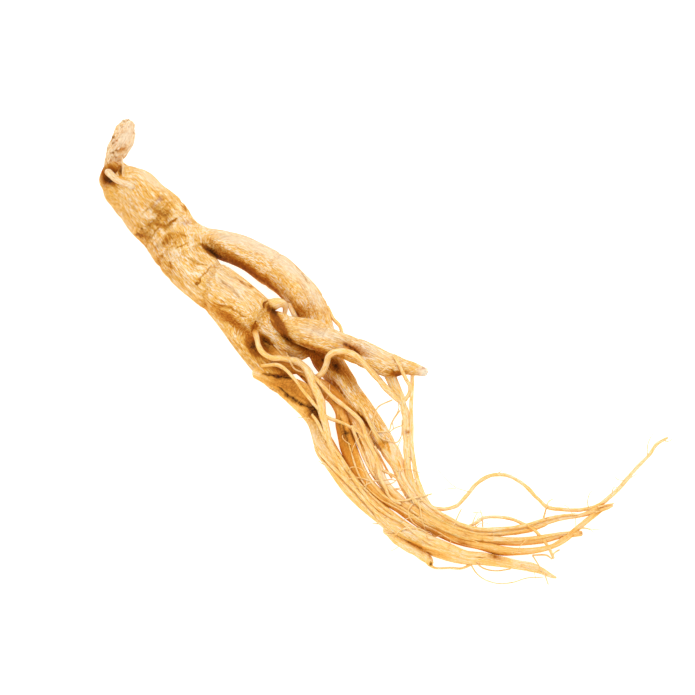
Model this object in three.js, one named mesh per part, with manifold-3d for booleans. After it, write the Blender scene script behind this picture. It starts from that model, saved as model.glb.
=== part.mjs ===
// A dried ginseng root lying on its belly: neck, crown, stout body, forked legs and a tail of
// rootlets, grown as one piece. Millimetres. +X runs from the crown to the tail tips, +Y is away
// from the viewer, +Z is up, and the root rests on z = 0.
import * as THREE from 'three';
import { mergeVertices } from 'three/addons/utils/BufferGeometryUtils.js';
import Module from 'manifold-3d';

// The limbs are drawn in a view that looks down at this slant, so that the root can be laid out as
// it is seen, and are then placed on the ground plane.
const VIEW_SLANT = THREE.MathUtils.degToRad(60);
// The middle of the root's box on the ground plane, seen from the top left corner of the drawing.
const BOX_MIDDLE = { right: 113.36, away: -111.55 };

// Each point is [right, down, height, radius]: right and down in the slanted view, the height of the
// limb's middle above the ground, and the limb's radius there, all in millimetres.
// A limb also has its number of sides, the distance between its rings and, where it has them, the size
// of its soft lobes as a share of the radius, its creases at lengths along it, and its flatness.
const BODY = {
  sides: 22,
  step: 3,
  points: [
    [5.8, 22.3, 10.8, 7], [9.3, 25.9, 10.8, 9.3], [13.8, 29.5, 10.9, 10.9], [18.9, 35.2, 11, 11.4],
    [26.2, 43.2, 11, 11.2], [31.6, 50.8, 10.8, 10.9], [35.4, 57.4, 10, 9.7], [42, 63.9, 9.4, 9.9],
    [52.8, 72, 9.4, 10.1], [61.5, 78.1, 8.4, 8.9], [68, 84.4, 7.4, 4.9], [74.4, 90.4, 6.6, 3.4],
  ],
  lobes: 0.035,
  creases: [
    { at: 30, depth: 0.35, width: 1.1, slant: 2 }, { at: 36, depth: 0.3, width: 1, slant: -1.5 },
    { at: 43, depth: 0.45, width: 1.1, slant: 2.5 }, { at: 49, depth: 0.3, width: 1, slant: 1 },
    { at: 64, depth: 0.7, width: 1.4, slant: 4 }, { at: 90, depth: 0.7, width: 1.6, slant: 2 },
  ],
};

const RIGHT_LEG = {
  sides: 14,
  step: 4,
  points: [
    [27.6, 43, 10.8, 7.6], [35, 46.4, 10.6, 6.7], [42.1, 48.4, 10, 5.6], [48.9, 50, 9, 5.8],
    [57.9, 53.4, 7.6, 6.4], [65.5, 57.2, 7, 6.8], [72.5, 62, 6.9, 7.1], [78.6, 67.6, 6.9, 7.2],
    [83.4, 74.4, 6.7, 7.2], [87.2, 81.8, 6.1, 6.3], [90, 90, 5.5, 5.6], [93.2, 98.4, 5.2, 5],
    [97.8, 106, 5.1, 4.4],
  ],
  lobes: 0.04,
  creases: [
    { at: 46, depth: 0.3, width: 1.2, slant: 1.5 }, { at: 66, depth: 0.35, width: 1.3, slant: -1.5 },
    { at: 92, depth: 0.3, width: 1.2, slant: 1 },
  ],
};

const RIGHT_LEG_TAIL = {
  sides: 8,
  step: 5.8,
  points: [
    [93.4, 97.6, 5.1, 4.2], [97.8, 106.4, 5.1, 4.9], [104, 115, 5, 4.9], [110, 123.3, 5, 4.6],
    [115.7, 131.7, 4.9, 3.8], [119.3, 138.2, 4.8, 3], [121.8, 145, 4.9, 2.7], [125.6, 151.2, 5, 2.6],
    [131, 156.2, 5, 2.4], [137.6, 160, 4.8, 2.2], [144.4, 162.8, 4.6, 1.9], [152, 164.4, 4.2, 1.9],
    [160, 164, 3.8, 1.6], [168, 163.2, 3.4, 1.5], [172, 162.4, 3.2, 1.4], [177, 160.9, 2.9, 1.2],
    [184, 159.1, 2.6, 1], [192, 157.9, 2.3, 0.9], [198, 156, 2.1, 1.4], [202, 154.8, 2, 1.1],
    [204.4, 154, 2, 0.7],
  ],
};

const MAIN_LEG_TAIL = {
  sides: 7,
  step: 6,
  points: [
    [70.8, 87.2, 7.2, 3.4], [76, 91.4, 6.2, 3.7], [80, 92.6, 5.6, 3.6],
    [84.4, 92.4, 5.4, 2.3], [88.6, 97.2, 5, 3.3],
    [95.4, 106.8, 5, 3], [100.4, 116.4, 5.6, 3], [104.5, 125.4, 5.8, 3.4], [107.5, 132.2, 5.7, 3.2],
    [110.2, 138.8, 5.6, 3], [113.3, 145, 5.6, 2.2], [119.4, 151.8, 5.6, 2.3], [127.6, 157.4, 5.4, 2.1],
    [136, 162, 5, 2.1], [144, 165.4, 4.6, 1.8], [152, 167.2, 4.2, 1.7], [160, 168, 3.7, 1.7],
    [168, 168.2, 3.2, 1.9], [176, 167.5, 2.8, 1.8], [184, 165.8, 2.4, 1.4], [192, 165.1, 2, 1.2],
  ],
};

const BRANCH_STUB = {
  sides: 13,
  step: 3.4,
  points: [
    [64, 79.6, 7.5, 3], [69.6, 79.8, 9.5, 4], [74.8, 82.8, 12.2, 4.7], [80, 84.6, 14.8, 5.4],
    [85.6, 86.2, 16.4, 5.7], [91.4, 88.4, 17, 5.2], [99.6, 90.9, 17, 4.7], [108, 94.4, 16.7, 5.2],
    [116.2, 98.2, 16.3, 5.3], [123, 99.3, 16.2, 3], [129.2, 100.8, 16.4, 2.2],
  ],
  lobes: 0.05,
  creases: [{ at: 14, depth: 0.5, width: 1.2, slant: 2 }, { at: 46, depth: 0.35, width: 1.2, slant: 2 }],
};

const THIRD_LEG = {
  sides: 10,
  step: 5.6,
  points: [
    [44.8, 70, 6.8, 5], [54, 83.2, 5.6, 5.2], [62, 93.4, 5.2, 5.2], [69.6, 102, 5, 5],
    [78.3, 110.2, 4.8, 4.4], [86, 119.6, 4.4, 3.9], [90, 130.4, 4.2, 4], [97.6, 142, 4.1, 4.1],
    [107, 152.8, 4, 4], [118, 161.6, 3.8, 3.7], [130.4, 168.9, 3.5, 3.8], [139.2, 172.4, 3.3, 3.6],
    [147, 174.7, 2.9, 2.8], [152, 175.1, 2.5, 2.5], [160, 176.2, 2.2, 2.2], [168, 177.7, 2.1, 2],
    [172, 178.4, 2.1, 2], [176, 179.8, 1.6, 1.4], [180.4, 182, 1.1, 0.9], [182, 182.6, 1, 0.5],
  ],
  lobes: 0.04,
};

const INNER_LEG = {
  sides: 7,
  step: 6.4,
  points: [
    [58, 87, 5, 3], [63, 89.4, 4.6, 3.2], [69, 93.4, 4.8, 3.4], [75, 98.2, 6.8, 3.8],
    [79.6, 99.5, 7, 2.4], [84.9, 104, 7, 2.6], [89.8, 107.7, 6.6, 3.3],
    [94.5, 111.8, 6.2, 3.2], [96.6, 117, 6.1, 2.5],
    [97.3, 122.6, 6, 3.3], [100, 132.6, 5.8, 3.4], [105.6, 143.6, 5.6, 2.7], [112, 150.2, 5.2, 2.3],
    [119.6, 155.1, 4.8, 2], [128, 160.9, 4.2, 2.2], [136, 164.8, 3.8, 2], [144, 168.2, 3.8, 1.8],
    [152, 169.9, 3.8, 1.9], [160, 171.8, 3.6, 2.1], [168, 172.2, 3.3, 1.5], [176, 171.4, 2.9, 1.3],
    [181, 170, 2.7, 1.1], [186, 167, 2.5, 1.2], [190.8, 162.9, 2.3, 1.1], [196, 158.8, 2, 1.1],
    [200, 155.8, 1.9, 0.8],
  ],
};

const LOWER_LEG = {
  sides: 7,
  step: 5.2,
  points: [
    [63, 101, 5.6, 2.8], [70.4, 104.4, 6.4, 3.1], [77.2, 106.8, 6.9, 3.8], [82.3, 109.8, 6.9, 4.1],
    [85.2, 113, 6.2, 3.1], [87.6, 121.4, 4.8, 2.3], [92.2, 131, 5, 2.6], [98.4, 141.2, 4.6, 2.9],
    [105.8, 150.8, 4.4, 2.7], [114, 158.4, 4.2, 2.3], [122, 163.4, 4, 2.1],
  ],
};

const NECK = {
  sides: 12,
  step: 2,
  flatness: 0.62,
  points: [
    [4.8, 23.2, 10.5, 2.6], [4.2, 19.8, 14, 3], [5, 16, 16, 3.5], [6.9, 12, 17.6, 4.8],
    [9, 8, 18.8, 5.2], [10.2, 4.2, 19.4, 4.7], [11, 2, 19.6, 3.2],
  ],
  lobes: 0.05,
};

// The rootlets are slim, with few sides, and each starts well inside the limb that it grows from.
const ROOTLETS = [
  // From the front of the main leg, over the lower legs and down into the tail, with its fork.
  { step: 5.4, points: [
    [60.8, 82.4, 8, 1.4], [62.8, 87.2, 9.6, 1.2], [64.2, 92, 11, 1.1], [68, 94.9, 11.6, 1.1],
    [74, 95.6, 11.6, 1.2], [79.2, 96.7, 11, 1.5], [83, 100.4, 11, 1.6], [85.2, 106, 10.4, 1.6],
    [88, 112, 9.8, 1.8], [89.5, 119.4, 8.8, 1.5], [92.4, 130.2, 8, 1.3], [97.6, 141.6, 7.4, 1.2],
    [104.8, 150.4, 7, 1], [113.2, 157.6, 6.2, 0.9],
  ] },
  { step: 5.4, points: [
    [80.8, 98, 11, 0.9], [86.4, 103.6, 10.6, 0.9], [92.4, 110, 10, 0.9], [98.8, 115.2, 9.6, 0.9],
    [104, 120.4, 9.2, 0.9], [107, 128, 9, 0.9], [110.4, 134.8, 8.6, 0.8], [111.6, 139.6, 8, 0.6],
  ] },
  { step: 5.4, points: [
    [64.8, 98.4, 9, 0.8], [71.4, 98, 11, 0.8], [76.2, 101.8, 11, 0.7], [81.2, 108.2, 10.6, 0.7],
    [86, 114, 9.6, 0.7], [90.4, 118.4, 9, 0.7], [96.4, 120.8, 8.8, 0.7], [102, 124, 9, 0.7],
    [106.6, 127.8, 9, 0.6], [109.6, 134, 8.4, 0.6],
  ] },
  // The arch that springs from the inner legs, crosses the branch and falls into the tail.
  { step: 4.6, points: [
    [86.4, 103.2, 8.6, 1.2], [89.2, 100.6, 11, 1.3], [90.6, 97.4, 14, 1.3], [91.3, 94.6, 17, 1.3],
    [93.8, 92.8, 20, 1.2], [98.6, 92.7, 20.8, 1.2], [103.4, 95, 19.8, 1.2], [108, 99.9, 17, 1.3],
    [112.8, 105.4, 14.6, 1.3], [117.6, 110.5, 12.4, 1.2], [121.2, 113.8, 11, 1.2], [122.6, 118, 10.4, 1.2],
    [123.2, 124.4, 9.8, 1.2], [123.4, 132.4, 9, 1.1], [123.6, 140.6, 8, 1], [126.8, 148.6, 6.8, 1.1],
    [132, 155.6, 5.6, 1],
  ] },
  // From the under side of the branch, hanging down into the tail.
  { step: 3, points: [
    [117.8, 95, 20.9, 0.6], [119.4, 97.6, 19.9, 0.8], [120.8, 100.4, 18.2, 0.8], [122.2, 103.2, 16.8, 0.8],
    [123.8, 106.4, 15.2, 0.8], [123.8, 109, 13.2, 0.8], [122.2, 112, 12, 0.8],
  ] },
  { step: 5.4, points: [
    [125, 100.6, 16, 0.9], [124.7, 107, 14, 0.75], [124.4, 120, 11.6, 0.8], [124.8, 132, 9.6, 0.9],
    [126.5, 142.2, 8, 0.9], [130, 151.4, 6.4, 1.1], [136, 158.8, 5.2, 0.8],
  ] },
  { step: 4.6, points: [
    [114.6, 96.8, 15, 1.3], [117, 102.6, 14, 1.5], [118.8, 106.8, 13, 1.4], [120.6, 110.4, 12, 1.2],
    [121.5, 115.2, 10.8, 1.3], [122.1, 122.8, 9.8, 1.2],
    [122.3, 132.8, 8.6, 1.2], [123.4, 142.4, 7.2, 1.2],
    [127.6, 151.2, 6, 1.2], [134.4, 158, 5, 1],
  ] },
  { step: 4, points: [
    [112.2, 96.4, 15, 1.1], [115, 103.2, 13.8, 1.1], [117.2, 107.2, 12.8, 1], [120.2, 110.8, 11.8, 0.8],
  ] },
  // The long arch that leaves the tail, comes back to it and runs on to the farthest tip.
  { step: 4.6, points: [
    [128.8, 152.8, 5.2, 0.9], [136, 155.4, 5, 0.8], [142, 154.2, 5.4, 0.8], [146.2, 150.4, 6.2, 0.8],
    [150.2, 145.6, 7, 0.8], [154.8, 142.5, 7.6, 0.8], [159.6, 141.6, 7.8, 0.8], [164.6, 142.8, 7.4, 0.8],
    [170, 146.4, 6.4, 0.8], [174.8, 151.2, 5, 0.8], [178.8, 154.7, 4, 0.8], [184, 155.6, 3.2, 0.8],
    [192, 155.6, 2.6, 0.8], [198.4, 154.4, 2.4, 0.9], [203.2, 150.8, 2.8, 0.9], [209, 145.1, 3.4, 0.9],
    [214.7, 138.8, 4, 0.8], [219.5, 133.6, 4.4, 0.8], [222.3, 129.8, 4.6, 0.7], [226.6, 127, 4.8, 0.6],
  ] },
  { step: 4, points: [
    [145.6, 163, 4.8, 0.8], [149.6, 161.2, 5.6, 0.7], [153, 159, 6, 0.7], [158.4, 158.5, 6, 0.7],
    [164, 159.2, 5.4, 0.7], [169.6, 161.6, 4.8, 0.7], [173.6, 164, 4.4, 0.7], [176.8, 167.6, 3.6, 0.7],
    [179.4, 171.2, 3, 0.6], [181, 174.8, 2.2, 0.6],
  ] },
  // A stub below the tail and the thread that curls back from it.
  { step: 4, points: [
    [115, 163.6, 3, 2.2], [121, 168.8, 2.7, 2.2], [126.4, 172.2, 2.5, 2.1], [130.6, 175, 2.3, 1.9],
    [132, 177, 2, 1.3],
  ] },
  { step: 4, points: [
    [131.6, 177.4, 1.8, 0.8], [133.8, 178.7, 1.3, 0.5], [140, 178.7, 1.2, 0.5], [144.4, 179, 1.3, 0.5],
    [149.6, 176.4, 2.4, 0.6],
  ] },
  // Small ones: off the right leg, the hooked knob beside the branch, and the spur on the crown.
  { step: 2.6, points: [
    [90.8, 75, 7, 1], [93.4, 79.6, 7.4, 0.8], [95.8, 82.4, 8.6, 0.75], [97.4, 88, 12, 0.65],
  ] },
  { step: 1.8, points: [
    [64.6, 75.4, 10, 2], [66.8, 74.4, 11.6, 2.6], [69.4, 73.8, 12.6, 2.5], [72, 73.2, 12.9, 2],
    [73.9, 74, 11.8, 1.3], [74, 76, 10, 1], [73.6, 78.4, 8.6, 0.9],
  ] },
  { step: 1.8, points: [[75.6, 73.8, 10, 0.9], [76.9, 76.2, 9.6, 1], [78, 78.6, 9, 1]] },
  { step: 1.8, points: [
    [3, 20.6, 17, 1.4], [6, 23.4, 20, 1.3], [9.4, 25.2, 22, 1.2], [13, 26.6, 22.6, 1],
  ] },
].map((rootlet) => ({ sides: 5, ...rootlet }));

// The pit in the crown that the neck rises from, [right, down, height], and its half-widths.
const CROWN_PIT = { middle: [4.4, 22.4, 16.6], reach: [3.9, 3.2, 3.4], sides: 10, rings: 6 };

// Rings that round off each end of a limb.
const CAP_RINGS = 3;
// How far a rounded end reaches past the last point, as a share of the radius there.
const CAP_REACH = 0.75;
// The under side has dried flat where it lies on the ground, which this block cuts.
const GROUND_BLOCK = { width: 400, thickness: 20 };
// Straight stretches between the finely spaced samples that measure a limb's length.
const LENGTH_SAMPLES = 24;

// Places a drawn point on the ground plane: what is drawn higher up lies farther away.
function place([right, down, height]) {
  const away = (-down - height * Math.cos(VIEW_SLANT)) / Math.sin(VIEW_SLANT);
  return new THREE.Vector3(right - BOX_MIDDLE.right, away - BOX_MIDDLE.away, height);
}

// The radius between two listed ones, eased so that the limb has no step in its outline.
function radiusAt(points, position) {
  const index = Math.min(Math.floor(position), points.length - 2);
  const share = THREE.MathUtils.smoothstep(position - index, 0, 1);
  const blend = (position - index + share) / 2;
  return THREE.MathUtils.lerp(points[index][3], points[index + 1][3], blend);
}

// Stations at even distances along a limb, as positions in its list of points and as lengths.
function stationsAlong(curve, points, step) {
  const segments = points.length - 1;
  const count = segments * LENGTH_SAMPLES;
  const lengths = [0];
  let previous = curve.getPoint(0);
  for (let i = 1; i <= count; i += 1) {
    const next = curve.getPoint(i / count);
    lengths.push(lengths[i - 1] + next.distanceTo(previous));
    previous = next;
  }
  const total = lengths[count];
  const rings = Math.max(3, Math.round(total / step) + 1);
  const stations = [];
  let sample = 0;
  for (let ring = 0; ring < rings; ring += 1) {
    const along = (total * ring) / (rings - 1);
    while (sample < count - 1 && lengths[sample + 1] < along) sample += 1;
    const share = (along - lengths[sample]) / (lengths[sample + 1] - lengths[sample]);
    stations.push({ position: ((sample + share) / count) * segments, along });
  }
  return stations;
}

// The skin's low relief: two to three soft lobes round the limb, and creases across it.
function relief(limb, along, angle) {
  const lobes = limb.lobes ?? 0;
  let scale = 1 + lobes * Math.sin(2 * angle + 0.09 * along + 0.8);
  scale += 0.7 * lobes * Math.sin(3 * angle - 0.13 * along + 2.1);
  scale += 0.6 * lobes * Math.sin(0.31 * along + 0.5 * Math.sin(angle));
  let groove = 0;
  for (const crease of limb.creases ?? []) {
    const offset = (along - crease.at - crease.slant * Math.sin(angle)) / crease.width;
    groove += crease.depth * Math.exp(-offset * offset);
  }
  return { scale, groove };
}

// A closed, round-ended skin swept along the limb's points.
function sweep(limb) {
  const { points, sides, step } = limb;
  const curve = new THREE.CatmullRomCurve3(points.map(place), false, 'centripetal');
  const stations = stationsAlong(curve, points, step);
  const vertices = [];
  const rings = [];
  const normal = new THREE.Vector3(0, 0, 1);

  function addRing(middle, tangent, radius, along) {
    const side = new THREE.Vector3().crossVectors(tangent, normal).normalize();
    const start = vertices.length;
    for (let j = 0; j < sides; j += 1) {
      const angle = (2 * Math.PI * j) / sides;
      const { scale, groove } = relief(limb, along, angle);
      const reach = Math.max(radius * scale - groove, radius * 0.5);
      const vertex = middle.clone();
      vertex.addScaledVector(normal, reach * Math.cos(angle) * (limb.flatness ?? 1));
      vertex.addScaledVector(side, reach * Math.sin(angle));
      vertices.push(vertex);
    }
    rings.push(start);
  }

  // The ring's normal is carried along the limb without twisting about it.
  function carryNormal(tangent) {
    normal.addScaledVector(tangent, -normal.dot(tangent)).normalize();
  }

  function addEnd(middle, tangent, radius, along, outward) {
    for (let k = 1; k <= CAP_RINGS; k += 1) {
      const turn = (Math.PI / 2) * (outward > 0 ? k : CAP_RINGS + 1 - k) / (CAP_RINGS + 1);
      const reach = outward * radius * CAP_REACH * Math.sin(turn);
      addRing(middle.clone().addScaledVector(tangent, reach), tangent, radius * Math.cos(turn), along);
    }
  }

  const tips = [];
  stations.forEach(({ position, along }, index) => {
    const fraction = position / (points.length - 1);
    const middle = curve.getPoint(fraction);
    const tangent = curve.getTangent(fraction);
    const radius = radiusAt(points, position);
    carryNormal(tangent);
    if (index === 0) {
      tips.push(middle.clone().addScaledVector(tangent, -radius * CAP_REACH));
      addEnd(middle, tangent, radius, along, -1);
    }
    addRing(middle, tangent, radius, along);
    if (index === stations.length - 1) {
      addEnd(middle, tangent, radius, along, 1);
      tips.push(middle.clone().addScaledVector(tangent, radius * CAP_REACH));
    }
  });

  const triangles = [];
  for (let ring = 0; ring < rings.length - 1; ring += 1) {
    for (let j = 0; j < sides; j += 1) {
      const next = (j + 1) % sides;
      const [a, b] = [rings[ring] + j, rings[ring] + next];
      const [c, d] = [rings[ring + 1] + next, rings[ring + 1] + j];
      triangles.push(a, b, c, a, c, d);
    }
  }
  const first = vertices.push(tips[0]) - 1;
  const last = vertices.push(tips[1]) - 1;
  for (let j = 0; j < sides; j += 1) {
    const next = (j + 1) % sides;
    triangles.push(first, rings[0] + next, rings[0] + j);
    triangles.push(last, rings[rings.length - 1] + j, rings[rings.length - 1] + next);
  }
  const geometry = new THREE.BufferGeometry().setFromPoints(vertices);
  geometry.setIndex(triangles);
  return geometry;
}

const wasm = await Module();
wasm.setup();

// Turns a closed three.js geometry into a solid that can be joined and cut.
function solidOf(geometry) {
  geometry.deleteAttribute('normal');
  geometry.deleteAttribute('uv');
  const merged = mergeVertices(geometry);
  return new wasm.Manifold(new wasm.Mesh({
    numProp: 3,
    vertProperties: new Float32Array(merged.attributes.position.array),
    triVerts: new Uint32Array(merged.index.array),
  }));
}

// The largest piece of a solid, with any pocket that joining closed off filled in.
function largestPiece(solid) {
  return solid.decompose().reduce((best, piece) => (piece.volume() > best.volume() ? piece : best));
}

function geometryOf(solid) {
  const { vertProperties, triVerts } = solid.getMesh();
  const geometry = new THREE.BufferGeometry();
  geometry.setAttribute('position', new THREE.BufferAttribute(vertProperties, 3));
  geometry.setIndex(new THREE.BufferAttribute(triVerts, 1));
  const faceted = geometry.toNonIndexed();
  faceted.computeVertexNormals();
  return faceted;
}

function makeCrownPit() {
  const { middle, reach, sides, rings } = CROWN_PIT;
  const pit = new THREE.SphereGeometry(1, sides, rings);
  pit.scale(...reach);
  pit.translate(...place(middle).toArray());
  return solidOf(pit);
}

function makeRoot() {
  const crown = solidOf(sweep(BODY)).subtract(makeCrownPit());
  const limbs = [
    RIGHT_LEG, RIGHT_LEG_TAIL, MAIN_LEG_TAIL, BRANCH_STUB, THIRD_LEG, INNER_LEG, LOWER_LEG, NECK,
    ...ROOTLETS,
  ];
  const grown = limbs.reduce((whole, limb) => whole.add(solidOf(sweep(limb))), crown);
  const { width, thickness } = GROUND_BLOCK;
  const ground = new THREE.BoxGeometry(width, width, thickness);
  ground.translate(0, 0, -thickness / 2);
  const skin = new THREE.MeshStandardMaterial({ color: 0xe0b578, roughness: 0.85, metalness: 0 });
  const root = new THREE.Mesh(geometryOf(largestPiece(grown.subtract(solidOf(ground)))), skin);
  root.name = 'ginseng_root';
  return root;
}

const group = new THREE.Group();
group.add(makeRoot());

export default group;
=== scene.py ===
"""A dried ginseng root on a pale table: its wrinkled skin, neck, broken branch, tail and hairs.

The root is laid out in millimetres and its meshes are put down in metres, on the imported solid's place.
"""
import itertools
import logging
import math
from collections.abc import Callable, Iterable
from dataclasses import dataclass, field, replace
from enum import Enum

import bpy
import numpy as np
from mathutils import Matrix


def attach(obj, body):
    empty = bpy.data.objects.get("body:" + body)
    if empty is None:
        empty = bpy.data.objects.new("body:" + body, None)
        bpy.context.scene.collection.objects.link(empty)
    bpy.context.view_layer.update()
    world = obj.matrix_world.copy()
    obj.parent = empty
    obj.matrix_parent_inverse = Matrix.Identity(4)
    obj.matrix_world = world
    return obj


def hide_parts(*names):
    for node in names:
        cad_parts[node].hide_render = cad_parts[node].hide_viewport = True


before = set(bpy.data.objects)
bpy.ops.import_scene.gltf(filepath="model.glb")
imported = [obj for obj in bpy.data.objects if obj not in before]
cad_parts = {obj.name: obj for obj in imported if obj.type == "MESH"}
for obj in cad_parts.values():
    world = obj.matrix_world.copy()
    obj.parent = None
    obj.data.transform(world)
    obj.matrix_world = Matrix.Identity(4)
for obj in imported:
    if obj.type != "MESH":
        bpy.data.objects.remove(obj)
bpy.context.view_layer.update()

LOG = logging.getLogger("ginseng_root")
BODY_NAME = "root"
NODE_NAME = "ginseng_root"
MM = 0.001


# The view that the root is laid out in

@dataclass(frozen=True)
class Drawing:
    """A view that looks down at a slant, measured in millimetres right and down from its corner."""

    slant: float = math.radians(60)
    middle_right: float = 113.36
    middle_away: float = -111.55

    def place(self, drawn: np.ndarray) -> np.ndarray:
        """Puts drawn points on the ground plane: away = (-down - height cos(slant)) / sin(slant).

        Args:
            drawn: Points as right, down and height, in the last axis.

        Returns:
            The points as x, y and z in millimetres.
        """
        right, down, height = np.moveaxis(np.asarray(drawn, float), -1, 0)
        away = (-down - height * math.cos(self.slant)) / math.sin(self.slant)
        return np.stack([right - self.middle_right, away - self.middle_away, height], axis=-1)

    def read(self, placed: np.ndarray) -> np.ndarray:
        """Gives placed points back as right and down: down = -away sin(slant) - height cos(slant).

        Args:
            placed: Points as x, y and z in millimetres, in the last axis.

        Returns:
            The points as right and down.
        """
        x, y, z = np.moveaxis(placed, -1, 0)
        down = -(y + self.middle_away) * math.sin(self.slant) - z * math.cos(self.slant)
        return np.stack([x + self.middle_right, down], axis=-1)

    @property
    def toward_viewer(self) -> np.ndarray:
        """The direction from the root to the viewer."""
        return np.array([0.0, -math.cos(self.slant), math.sin(self.slant)])


DRAWING = Drawing()


# Noise and small sums

def ease(values: np.ndarray, low: float, high: float) -> np.ndarray:
    """Goes from 0 at low to 1 at high as 3t^2 - 2t^3."""
    share = np.clip((values - low) / (high - low), 0, 1)
    return share * share * (3 - 2 * share)


def lengths_along(points: np.ndarray) -> np.ndarray:
    """The length of a line up to each of its points: the sum of the steps before it."""
    return np.concatenate([[0], np.cumsum(np.linalg.norm(np.diff(points, axis=0), axis=1))])


@dataclass(frozen=True)
class Noise:
    """Seeded gradient noise in three dimensions, from about -1 to 1."""

    seed: int

    CELLS = 256
    SPREAD = 1.6

    def __post_init__(self) -> None:
        """Draws the gradients and the order in which the cells take them."""
        rng = np.random.default_rng(self.seed)
        gradients = rng.normal(size=(self.CELLS, 3))
        gradients /= np.linalg.norm(gradients, axis=1, keepdims=True)
        object.__setattr__(self, "_gradients", gradients)
        object.__setattr__(self, "_order", rng.permutation(self.CELLS))

    def at(self, points: np.ndarray) -> np.ndarray:
        """Sums each cell corner's gradient times the offset from it, weighted by 6t^5 - 15t^4 + 10t^3.

        Args:
            points: Points, one a row, in cells.

        Returns:
            The noise at each point.
        """
        cell = np.floor(points).astype(np.int64)
        local = points - cell
        fade = local**3 * (local * (local * 6 - 15) + 10)
        total = np.zeros(len(points))
        last = self.CELLS - 1
        for corner in itertools.product((0, 1), repeat=3):
            x, y, z = ((cell + corner) & last).T
            pick = self._order[(self._order[(self._order[x] + y) & last] + z) & last]
            weight = np.where(np.array(corner), fade, 1 - fade).prod(axis=1)
            total += weight * (self._gradients[pick] * (local - corner)).sum(axis=1)
        return total * self.SPREAD


# Limbs, and the courses that they follow

@dataclass(frozen=True)
class Crease:
    """A crease across a limb: its length along it, depth, width and slant, in millimetres."""

    at: float
    depth: float
    width: float
    slant: float


@dataclass(frozen=True)
class Limb:
    """A limb as points of right, down, height and radius, with its soft lobes and creases."""

    points: tuple[tuple[float, float, float, float], ...]
    flatness: float = 1.0
    lobes: float = 0.0
    creases: tuple[Crease, ...] = ()

    SAMPLES = 24

    def reach(self, radius: np.ndarray, along: np.ndarray, angle: np.ndarray) -> np.ndarray:
        """Gives the skin's distance from the limb's middle: radius times the lobes, less the creases.

        Args:
            radius: The limb's plain radius.
            along: The length along the limb.
            angle: The angle about it.

        Returns:
            The distance in millimetres, never under half the radius.
        """
        scale = 1 + self.lobes * np.sin(2 * angle + 0.09 * along + 0.8)
        scale = scale + 0.7 * self.lobes * np.sin(3 * angle - 0.13 * along + 2.1)
        scale = scale + 0.6 * self.lobes * np.sin(0.31 * along + 0.5 * np.sin(angle))
        return np.maximum(radius * scale - self.groove(along, angle), radius / 2)

    def groove(self, along: np.ndarray, angle: np.ndarray) -> np.ndarray:
        """Sums the creases: depth * exp(-((along - at - slant sin(angle)) / width)^2).

        Args:
            along: The length along the limb.
            angle: The angle about it.

        Returns:
            How deep the creases are there, in millimetres.
        """
        total = np.zeros(np.broadcast(along, angle).shape)
        for crease in self.creases:
            offset = (along - crease.at - crease.slant * np.sin(angle)) / crease.width
            total = total + crease.depth * np.exp(-offset * offset)
        return total

    def course(self, step: float) -> "Course":
        """Lays stations at even distances on the limb's centripetal Catmull-Rom curve.

        Args:
            step: The distance between stations.

        Returns:
            The course, with frames that don't twist about it.
        """
        listed = np.array(self.points)
        placed = DRAWING.place(listed[:, :3])
        before = 2 * placed[0] - placed[1]
        after = 2 * placed[-1] - placed[-2]
        knots = np.vstack([before, placed, after])
        gaps = np.linalg.norm(np.diff(knots, axis=0), axis=1) ** 0.5
        x0, x1, x2, x3 = knots[:-3], knots[1:-2], knots[2:-1], knots[3:]
        g0, g1, g2 = (gaps[i:len(gaps) - 2 + i, None] for i in range(3))
        leave = g1 * ((x1 - x0) / g0 - (x2 - x0) / (g0 + g1) + (x2 - x1) / g1)
        arrive = g1 * ((x2 - x1) / g1 - (x3 - x1) / (g1 + g2) + (x3 - x2) / g2)
        share = np.linspace(0, 1, self.SAMPLES, endpoint=False)[None, :, None]
        a, b, c, d = (m[:, None, :] for m in (x1, leave, -3 * x1 + 3 * x2 - 2 * leave - arrive,
                                              2 * x1 - 2 * x2 + leave + arrive))
        fine = (a + b * share + c * share**2 + d * share**3).reshape(-1, 3)
        fine = np.vstack([fine, placed[-1]])
        lengths = lengths_along(fine)
        position = np.linspace(0, len(listed) - 1, len(fine))
        along = np.linspace(0, lengths[-1], max(4, round(lengths[-1] / step) + 1))
        middle = np.stack([np.interp(along, lengths, fine[:, i]) for i in range(3)], axis=1)
        where = np.interp(along, lengths, position)
        index = np.minimum(where.astype(int), len(listed) - 2)
        part = where - index
        blend = (part + part * part * (3 - 2 * part)) / 2
        radius = listed[index, 3] * (1 - blend) + listed[index + 1, 3] * blend
        return Course(self, middle, radius, along)


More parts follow.
